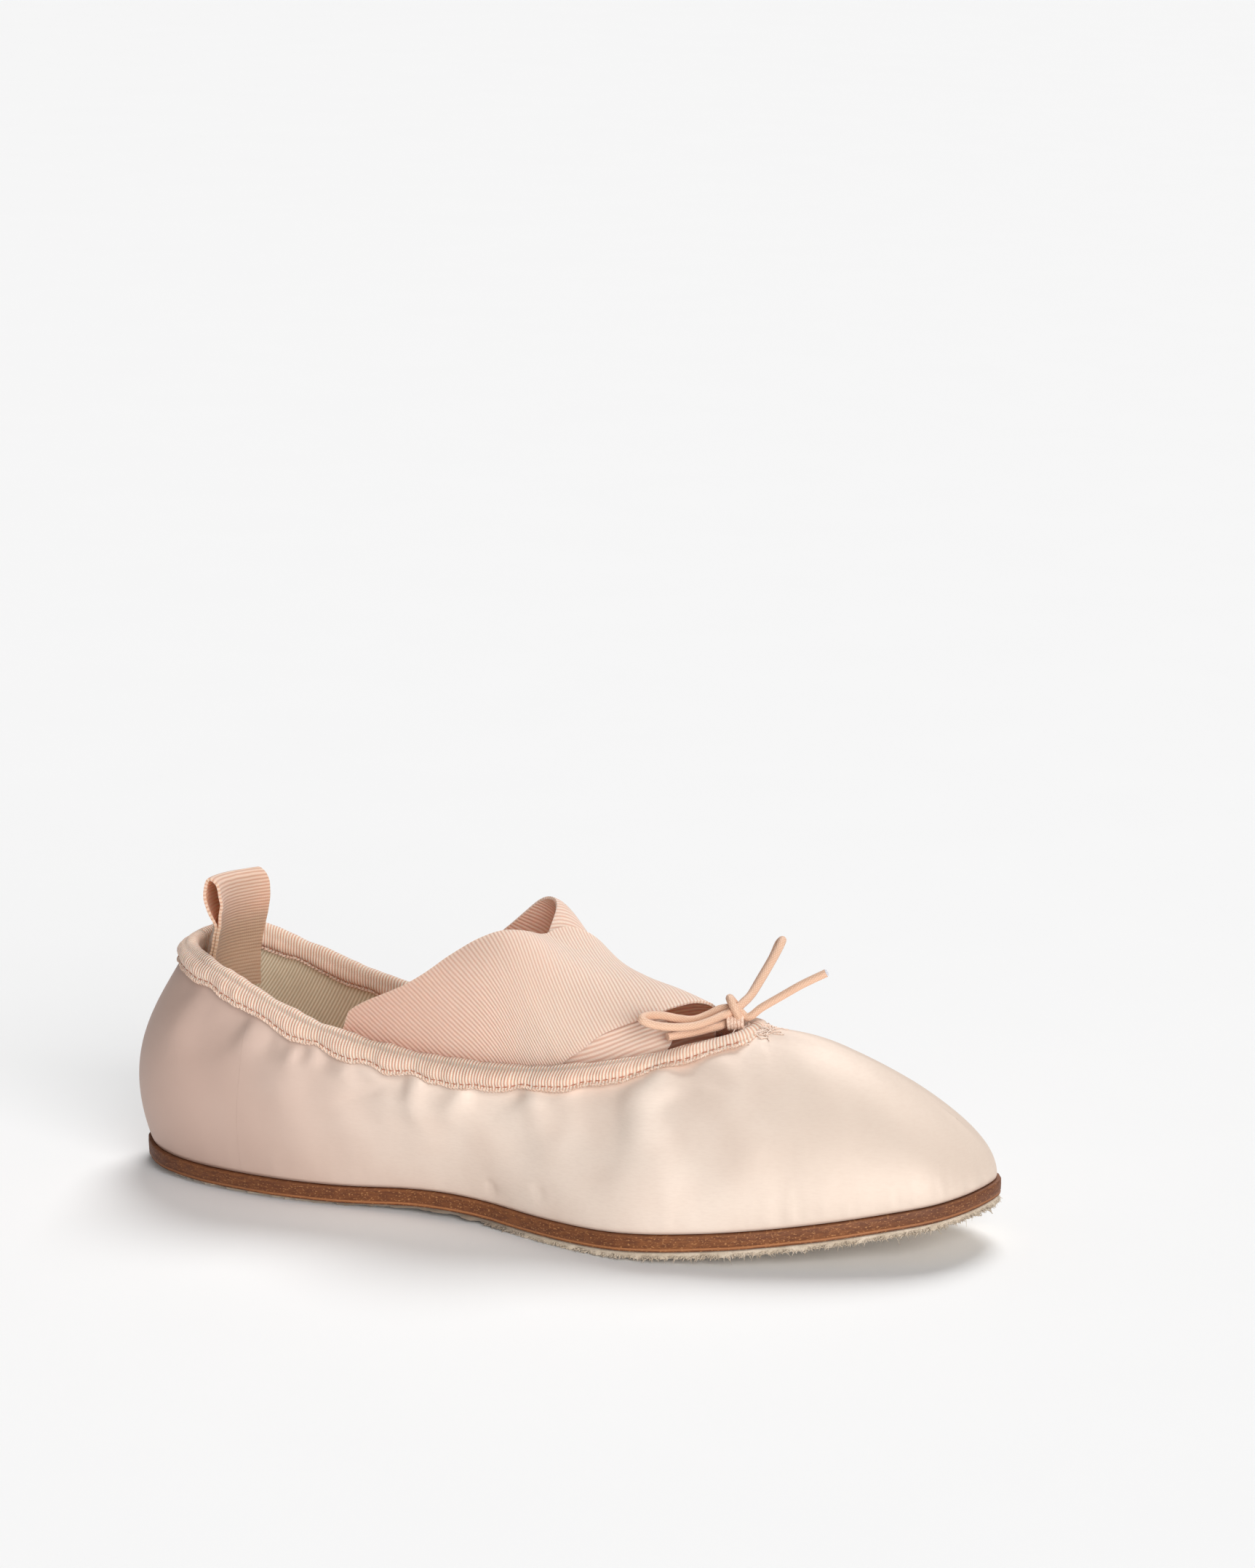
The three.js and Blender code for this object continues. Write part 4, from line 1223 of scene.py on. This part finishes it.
def make_binding():
    """The gathered tape; gives its laps, distances and the depth and stitch line of both faces."""
    lap, far, pinch = binding_rows()
    scallop = np.abs(np.sin(np.pi * far / PICOT["pitch"]))
    loose = waves(far, SEEDS["loose_tape"], LOOSE_TAPE)
    folds = waves(far, SEEDS["tape_folds"], TAPE_FOLDS)
    full = 1 - pinch
    flat = 1 - THROAT_FLAT["share"] * np.exp(-(((far - throat_far) / THROAT_FLAT["reach"]) ** 4))
    depth, puff = {}, {}
    for face, size in TAPE_FACES.items():
        loose_depth = size["loose_depth"] * loose
        depth[face] = size["depth"] - DRAWN_IN * pinch + loose_depth + PICOT["depth"] * scallop
        swell = size["puff"] + size["full"] * full + size["loose"] * loose * full + folds * size["folds"]
        puff[face] = swell * flat
    outside, inside = (size["base"] for size in TAPE_FACES.values())
    crest = -(GAP + BINDING_THICKNESS) * lerp(CREST["throat_share"], 1, flat)
    crest = crest - (CREST["full"] * full + CREST["loose"] * loose) * flat
    middle = (inside + outside) / 2
    half = (outside - inside) / 2 + BINDING_THICKNESS
    rings = []

    def ring(below, off, step):
        rings.append((np.broadcast_to(below, lap.shape), np.broadcast_to(off, lap.shape), step))

    def face_rings(face, start, end):
        size = TAPE_FACES[face]
        for t in np.linspace(start, end, size["rings"]):
            off = size["base"] + size["side"] * tape_rise(t, puff[face])
            ring(lerp(FACE_START, depth[face], t), off, size["ring_step"])

    face_rings("outer", 0, 1)
    ring(depth["outer"] + EDGE_ROUND, outside + BINDING_THICKNESS * 0.5, 0.5)
    ring(depth["outer"], outside + FACE_CLEAR, 0.4)
    ring(0.0, outside, 1)
    ring(-GAP, middle, 1)
    ring(0.0, inside, 1)
    ring(depth["inner"], inside - FACE_CLEAR, 1)
    ring(depth["inner"] + EDGE_ROUND, inside - BINDING_THICKNESS * 0.5, 0.4)
    face_rings("inner", 1, 0)
    for angle in np.linspace(math.pi, 0, 8)[1:-1]:
        ring(FACE_START + (crest - FACE_START) * math.sin(angle), middle + half * math.cos(angle), 0.6)
    below, off = (np.stack(rows, axis=1) for rows in list(zip(*rings))[:2])
    across = np.cumsum([step for _, _, step in rings])
    places = rounded_throat(binding_spot(lap, below, off), lap, far)
    faces = grid_faces(*below.shape, wrap_rows=True, wrap_columns=True)
    lay = lay_of(far[:, None], across)
    piece = make_piece("gathered_binding", ["tape"], places.reshape(-1, 3), faces, lay)
    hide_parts("collar_binding")
    stitch_line = {
        face: size["base"] + size["side"] * tape_rise(STITCH["share"], puff[face])
        for face, size in TAPE_FACES.items()
    }
    return lap, far, depth, stitch_line


def thread_row(name, finish, size, depth, rise, side):
    """A row of short threads along one face of the tape, clear of the throat."""
    lap, far = binding[:2]
    starts = np.arange(size["margin"], far[-1] - size["margin"], size["pitch"])
    share = np.linspace(-0.5, 0.5, 4)
    thickness = [size["radius"] * part for part in THREAD_TAPER]
    parts = []
    for start in starts[np.abs(starts - throat_far) > THROAT_CLEAR]:
        marks = start + share * size["length"]
        lap_here = np.mod(np.interp(marks, far, np.unwrap(lap, period=1)), 1)
        below = np.interp(marks, far, depth) * size["share"] + size["sink"] + size["slant"] * share
        off = np.interp(marks, far, np.broadcast_to(rise, far.shape)) + side * size["lift"]
        parts.append(tube(binding_spot(lap_here, below[:, None], off[:, None])[:, 0], thickness, sides=6))
    piece = make_piece(name, [finish], *joined(parts))


def make_stitches():
    _, _, depth, stitch_line = binding
    for face, size in TAPE_FACES.items():
        side = size["side"]
        edge_rise = size["base"] + side * BINDING_THICKNESS * EDGE_LOOP_RISE
        thread_row(face + "_stitches", "stitch", STITCH, depth[face], stitch_line[face], side)
        thread_row(face + "_edge_loops", "edge_thread", EDGE_LOOP, depth[face], edge_rise, side)


# Pairs are a least and a greatest; those of aside, heading and sway are a mean and a spread.
FRAY = {
    "count": 70, "middle": 60, "around": 12, "ahead": (53.5, 61), "aside": (1.6, 2.2), "heading": (0, 0.55),
    "length": (2.2, 6.0), "sway": (0, 1.1), "curl": 0.8, "curls": (0.6, 1.6), "phase": (0, 6),
    "off": 0.15, "lift": (0, 0.5), "humps": (1, 2.5), "radius": (0.09, 0.2),
}


def make_frayed_threads():
    """Loose threads of the drawn-up tape ends, lying on the vamp just ahead of the throat."""
    dice = np.random.default_rng(SEEDS["fray"])
    near_throat = np.abs(satin_places[:, :2] - (FRAY["middle"], 0)) < FRAY["around"]
    crown = satin_places[near_throat.all(axis=1)]
    t = np.linspace(0, 1, 13)
    parts = []
    for _ in range(FRAY["count"]):
        start = np.array([dice.uniform(*FRAY["ahead"]), dice.normal(*FRAY["aside"])])
        heading = dice.normal(*FRAY["heading"])
        length = dice.uniform(*FRAY["length"])
        sway = dice.normal(*FRAY["sway"]) * t
        curl = FRAY["curl"] * np.sin(t * TAU * dice.uniform(*FRAY["curls"]) + dice.uniform(*FRAY["phase"]))
        turned = heading + sway + curl
        ahead = np.stack([np.cos(turned), np.sin(turned)], axis=1)
        flat = start + np.cumsum(ahead, axis=0) * length / len(t)
        near = np.argmin(((crown[None, :, :2] - flat[:, None]) ** 2).sum(axis=2), axis=1)
        lift = dice.uniform(*FRAY["lift"])
        rise = FRAY["off"] + lift * np.abs(np.sin(t * np.pi * dice.uniform(*FRAY["humps"])))
        route = np.column_stack([flat, crown[near, 2] + rise])
        parts.append(tube(route, dice.uniform(*FRAY["radius"]), sides=5))
    piece = make_piece("frayed_threads", ["fray"], *joined(parts))


binding = make_binding()
make_stitches()
make_frayed_threads()


# Straps
STRAP_ROWS = 181
STRAP_COLUMNS = 29
LEG_ROWS = 10
STRAP_STATIONS = 40
STRAP_SWELL = {"height": 0.12, "power": 0.4}
STRAP_WAVES = [(9, 0.1)]
STRAP_WAVE_SHARE = 0.5
BAND_SHARP = 55


def band_lay(x, row_angle, row_down, inset):
    """How far round the arch, from its crest, each place of a band lies, as if the band were laid flat."""
    stations = np.linspace(x.min(), x.max(), STRAP_STATIONS)
    angles = np.linspace(0, 180, STRAP_ROWS)
    over = lengths_across(arch_place(*np.meshgrid(stations, angles, indexing="ij"), inset))
    over -= over[:, STRAP_ROWS // 2, None]
    row = np.round(row_angle * (STRAP_ROWS - 1) / 180).astype(int)
    round_arch = np.stack([np.interp(x[k], stations, over[:, row[k]]) for k in range(len(row))])
    return round_arch + (np.where(row_angle < 90, -1, 1) * row_down)[:, None]


def make_strap(name, node, inset, edge_table, mirrored):
    angles = np.linspace(0, 180, STRAP_ROWS)
    down = np.linspace(1, 0, LEG_ROWS, endpoint=False)
    column = np.linspace(0, 1, STRAP_COLUMNS)
    row_angle = np.concatenate([np.zeros(LEG_ROWS), angles, np.full(LEG_ROWS, 180.0)])
    row_down = np.concatenate([down, np.zeros(STRAP_ROWS), down[::-1]]) * STRAP_LEG["depth"]
    edges = table_curve(edge_table)(180 - row_angle if mirrored else row_angle)
    x = lerp(edges["rear"][:, None], edges["front"][:, None], column[None, :])
    places = arch_place(x, row_angle[:, None] * np.ones_like(x), inset)
    outward = np.where(row_angle < 90, -1, 1)
    places[..., 1] += (outward * STRAP_LEG["lean"] * row_down)[:, None]
    places[..., 2] -= row_down[:, None]
    normals = unit(np.cross(np.gradient(places, axis=0), np.gradient(places, axis=1)))
    round_arch = band_lay(x, row_angle, row_down, inset) * (-1 if mirrored else 1)
    far = x * math.cos(STRAP_SLANT) + round_arch * math.sin(STRAP_SLANT)
    width = round_arch * math.cos(STRAP_SLANT) - x * math.sin(STRAP_SLANT)
    swell = STRAP_SWELL["height"] * np.cos(np.pi * (column - 0.5)) ** STRAP_SWELL["power"]
    half = (STRAP_THICKNESS / 2 - STRAP_SWELL["height"] + swell)[None, :]
    edge_wave = waves(far, SEEDS[node], STRAP_WAVES) * STRAP_WAVE_SHARE
    points = np.concatenate([
        (places + normals * (side * half + edge_wave)[..., None]).reshape(-1, 3) for side in (1, -1)
    ])
    faces = np.concatenate(sheet_faces(*far.shape))
    lay = np.tile(lay_of(far, width), (2, 1))
    piece = make_piece(name, ["elastic"], points, faces, lay, sharp=BAND_SHARP)
    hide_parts(node)


OVER_INSET = WALL + BINDING_GAP + BINDING_THICKNESS + BINDING_PUFF + GAP + STRAP_THICKNESS / 2
make_strap("elastic_strap_over", "strap_over", OVER_INSET, STRAP_OVER_EDGES, False)
UNDER_INSET = OVER_INSET + STRAP_THICKNESS + STRAP_CLEAR
make_strap("elastic_strap_under", "strap_under", UNDER_INSET, STRAP_UNDER_EDGES, True)


# Pull loop
LOOP_COLUMNS = 25
RUFFLE = {"waves": [(6, 0.12)], "lean": 0.3, "power": 3}


def make_pull_loop():
    back = collar_place(np.array(True), np.array(0.0))
    ribbon = np.stack([LOOP_RIBBON["ahead"], LOOP_RIBBON["bow"], LOOP_RIBBON["up"]], axis=1)
    ahead, bow, up = np.split(smooth_route(ribbon), 3, axis=1)
    side = np.linspace(-1, 1, LOOP_COLUMNS)
    x = back[0] + ahead + bow * side**2
    y = np.ones_like(ahead) * side * LOOP_WIDTH / 2
    z = back[2] + up - LOOP_TILT * side * np.maximum(0, up)
    places = np.stack([x, y, z], axis=-1)
    normals = unit(np.cross(np.gradient(places, axis=0), np.gradient(places, axis=1)))
    far = lengths_along(places[:, LOOP_COLUMNS // 2])[:, None] * np.ones_like(x)
    ruffle = waves(far + y * RUFFLE["lean"], SEEDS["loop_ruffle"], RUFFLE["waves"])
    ruffle = ruffle * np.abs(side) ** RUFFLE["power"]
    points = np.concatenate([
        (places + normals * (s * LOOP_THICKNESS / 2 + ruffle)[..., None]).reshape(-1, 3) for s in (1, -1)
    ])
    faces = sheet_faces(*far.shape)
    # The inner faces take the brighter copy of the loop tape, painted light.
    inside = np.concatenate([np.full(len(part), k == 1) for k, part in enumerate(faces)])
    lay = np.tile(lay_of(far, y), (2, 1))
    piece = make_piece("heel_pull_loop", ["loop_tape", "loop_inside_painted_light"], points, np.concatenate(faces), lay,
                       inside, sharp=BAND_SHARP)
    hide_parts("pull_loop")


make_pull_loop()


# Sole
SOLE_STEPS = 300
SOLE_SHARP = 48
# Edge profiles from the top face to the bottom face: inset and height above the outsole's bottom, and
# inset, share of the tread's thickness and height on its face.
OUTSOLE_PROFILE = [
    (3.0, OUTSOLE_THICKNESS), (0.55, OUTSOLE_THICKNESS), (0.2, OUTSOLE_THICKNESS - 0.08),
    (0.02, OUTSOLE_THICKNESS - 0.4), (0.0, OUTSOLE_THICKNESS * 0.6), (0.05, 1.15), (0.16, 0.85),
    (0.08, 0.55), (0.15, 0.18), (0.5, 0.0), (3.0, 0.0),
]
TREAD_PROFILE = [
    (3, 1, 1.7), (0.25, 1, 1.7), (0.0, 0.85, 1.4), (0.0, 0.5, 0.8), (0.1, 0.12, 0.2),
    (0.5, 0, 0.0), (3, 0, 0.0),
]
TRIM_WAVES = [(23, 0.12), (5, 0.05)]
TORN_WAVES = [(9, 0.5), (3.1, 0.5), (1.4, 0.35)]
TORN_SHARES = np.array([0.4, 0.8, 0.9])
# First lap, last lap and number of the fibres on each side. In the second table pairs are a least and a
# greatest, but longer is the shape and scale of a gamma draw.
FIBRES = {"lateral": (0.24, 0.5, 1600), "medial": (0.5, 0.77, 700)}
FIBRE = {
    "inset": (-0.1, 0.4), "level": (0.05, 0.6), "longer": (2.2, 0.24), "shortest": 0.25, "aside": 0.6,
    "outward": (0.2, 1.0), "fall": (0.2, 0.9), "sag": 0.35, "floor": 0.3,
    "radii": np.array([0.13, 0.1, 0.03]), "thickness": (0.7, 1.8),
}


def sole_layer(name, node, finish, profile, uneven):
    """A layer of the sole from its edge profile: rows of inset, level and height, top face to bottom face."""
    laps = both_sides(np.linspace(0, 1, SOLE_STEPS + 1))
    share = share_at(side_of_lap(laps)[1])
    far = lengths_along(sole_edge(laps))
    points = []
    for inset_at, level_at, _ in profile:
        edge = inset_edge(laps, inset_at(share))
        points.append(np.column_stack([edge, level_at(length_share(edge[:, 0]))]))
    rings = np.stack(points, axis=1)
    uneven(rings, laps, far)
    rows, columns = rings.shape[:2]
    faces = [tuple(f) for f in grid_faces(rows, columns, wrap_rows=True, flip=True)]
    for column, turn in ((0, 1), (columns - 1, -1)):
        for k in range(SOLE_STEPS):
            across = dict.fromkeys((k, k + 1, (rows - k - 1) % rows, (rows - k) % rows))
            if len(across) > 2:
                faces.append(tuple(i * columns + column for i in across)[::turn])
    lay = lay_of(far[:, None], [up for _, _, up in profile])
    piece = make_piece(name, [finish], rings.reshape(-1, 3), faces, lay, sharp=SOLE_SHARP)
    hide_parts(node)
    return piece


def make_outsole():
    def row(inset, up):
        return (lambda share: np.full(share.shape, inset),
                lambda share: tread_top(share) + GAP + up, up)

    def hand_trimmed(rings, laps, far):
        off = edge_normal(laps) * waves(far, SEEDS["trimmed_edge"], TRIM_WAVES)[:, None]
        rings[:, 2:-2, :2] += off[:, None, :]

    profile = [row(*sizes) for sizes in OUTSOLE_PROFILE]
    piece = sole_layer("leather_outsole", "outsole", "sole_leather", profile, hand_trimmed)


def make_tread():
    def row(extra, part, up):
        return (lambda share: heel_to_forefoot(TREAD_INSET, share) + extra,
                lambda share: lerp(sole_lift(share), tread_top(share), part), up)

    def torn(rings, laps, far):
        ragged = waves(far, SEEDS["torn_edge"], TORN_WAVES)
        off = edge_normal(laps)[:, None, :] * ragged[:, None, None]
        rings[:, 3:6, :2] += off * TORN_SHARES[None, :, None]

    profile = [row(*sizes) for sizes in TREAD_PROFILE]
    piece = sole_layer("suede_sole", "suede_tread", "suede", profile, torn)


def make_fibres():
    """Loose suede fibres along the lower edge of the tread."""
    dice = np.random.default_rng(SEEDS["fibres"])
    laps = np.concatenate([dice.uniform(*stretch) for stretch in FIBRES.values()])
    shares = share_at(side_of_lap(laps)[1])
    insets = heel_to_forefoot(TREAD_INSET, shares)
    parts = []
    for lap, share, inset in zip(laps, shares, insets):
        edge = inset_edge(np.array([lap]), np.array([inset + dice.uniform(*FIBRE["inset"])]))[0]
        out = edge_normal(np.array([lap]))[0]
        along = np.array([-out[1], out[0], 0])
        outward = np.array([*out, 0])
        level = lerp(sole_lift(share), tread_top(share), dice.uniform(*FIBRE["level"]))
        length = dice.gamma(*FIBRE["longer"]) + FIBRE["shortest"]
        lean = along * dice.normal(0, FIBRE["aside"]) + outward * dice.uniform(*FIBRE["outward"])
        start = np.array([*edge, level])
        fall = min(max(level - FIBRE["floor"], 0), length * dice.uniform(*FIBRE["fall"]))
        drop = np.array([0, 0, -fall])
        middle = start + lean * length * 0.5 + drop * FIBRE["sag"]
        route = np.array([start, middle, start + lean * length + drop])
        route[:, 2] = np.maximum(route[:, 2], FIBRE["floor"])
        parts.append(tube(route, FIBRE["radii"] * dice.uniform(*FIBRE["thickness"]), sides=4))
    piece = make_piece("suede_fibres", ["suede"], *joined(parts))


make_outsole()
make_tread()
make_fibres()

# The insole keeps its packed form.
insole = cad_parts["insole"]
insole.data.materials.clear()
insole.data.materials.append(FINISHES["insole"])

# Floor and light, in metres
FLOOR_HALF = 6.0
PAPER_SHADES = [(0.96, 0.96, 0.96), (0.975, 0.975, 0.975)]
LAMPS = {
    "key": {"from": (0.8, -0.8, 0.38), "strength": 2.55, "spread": 46},
    "top": {"from": (-0.1, 0.76, 1.05), "strength": 1.95, "spread": 30},
}
WORLD_STRENGTH = 0.2


def make_stage():
    floor = bpy.data.meshes.new("floor")
    corners = [(-1, -1), (1, -1), (1, 1), (-1, 1)]
    floor.from_pydata([(x * FLOOR_HALF, y * FLOOR_HALF, 0) for x, y in corners], [], [(0, 1, 2, 3)])
    paper = Finish("paper", Roughness=0.9)
    paper.set(Base_Color=paper.mix(paper.noise(60, 2), *PAPER_SHADES))
    floor.materials.append(paper.material)
    ground = put_in_scene("floor", floor)
    for name, lamp in LAMPS.items():
        light = bpy.data.lights.new(name, "SUN")
        light.energy = lamp["strength"]
        light.angle = math.radians(lamp["spread"])
        turn_towards(put_in_scene(name, light), -Vector(lamp["from"]))
    world = bpy.data.worlds.new("studio")
    world.use_nodes = True
    backdrop = world.node_tree.nodes["Background"]
    backdrop.inputs["Color"].default_value = (1, 1, 1, 1)
    backdrop.inputs["Strength"].default_value = WORLD_STRENGTH
    bpy.context.scene.world = world
    bpy.context.scene.view_settings.view_transform = "Standard"


make_stage()
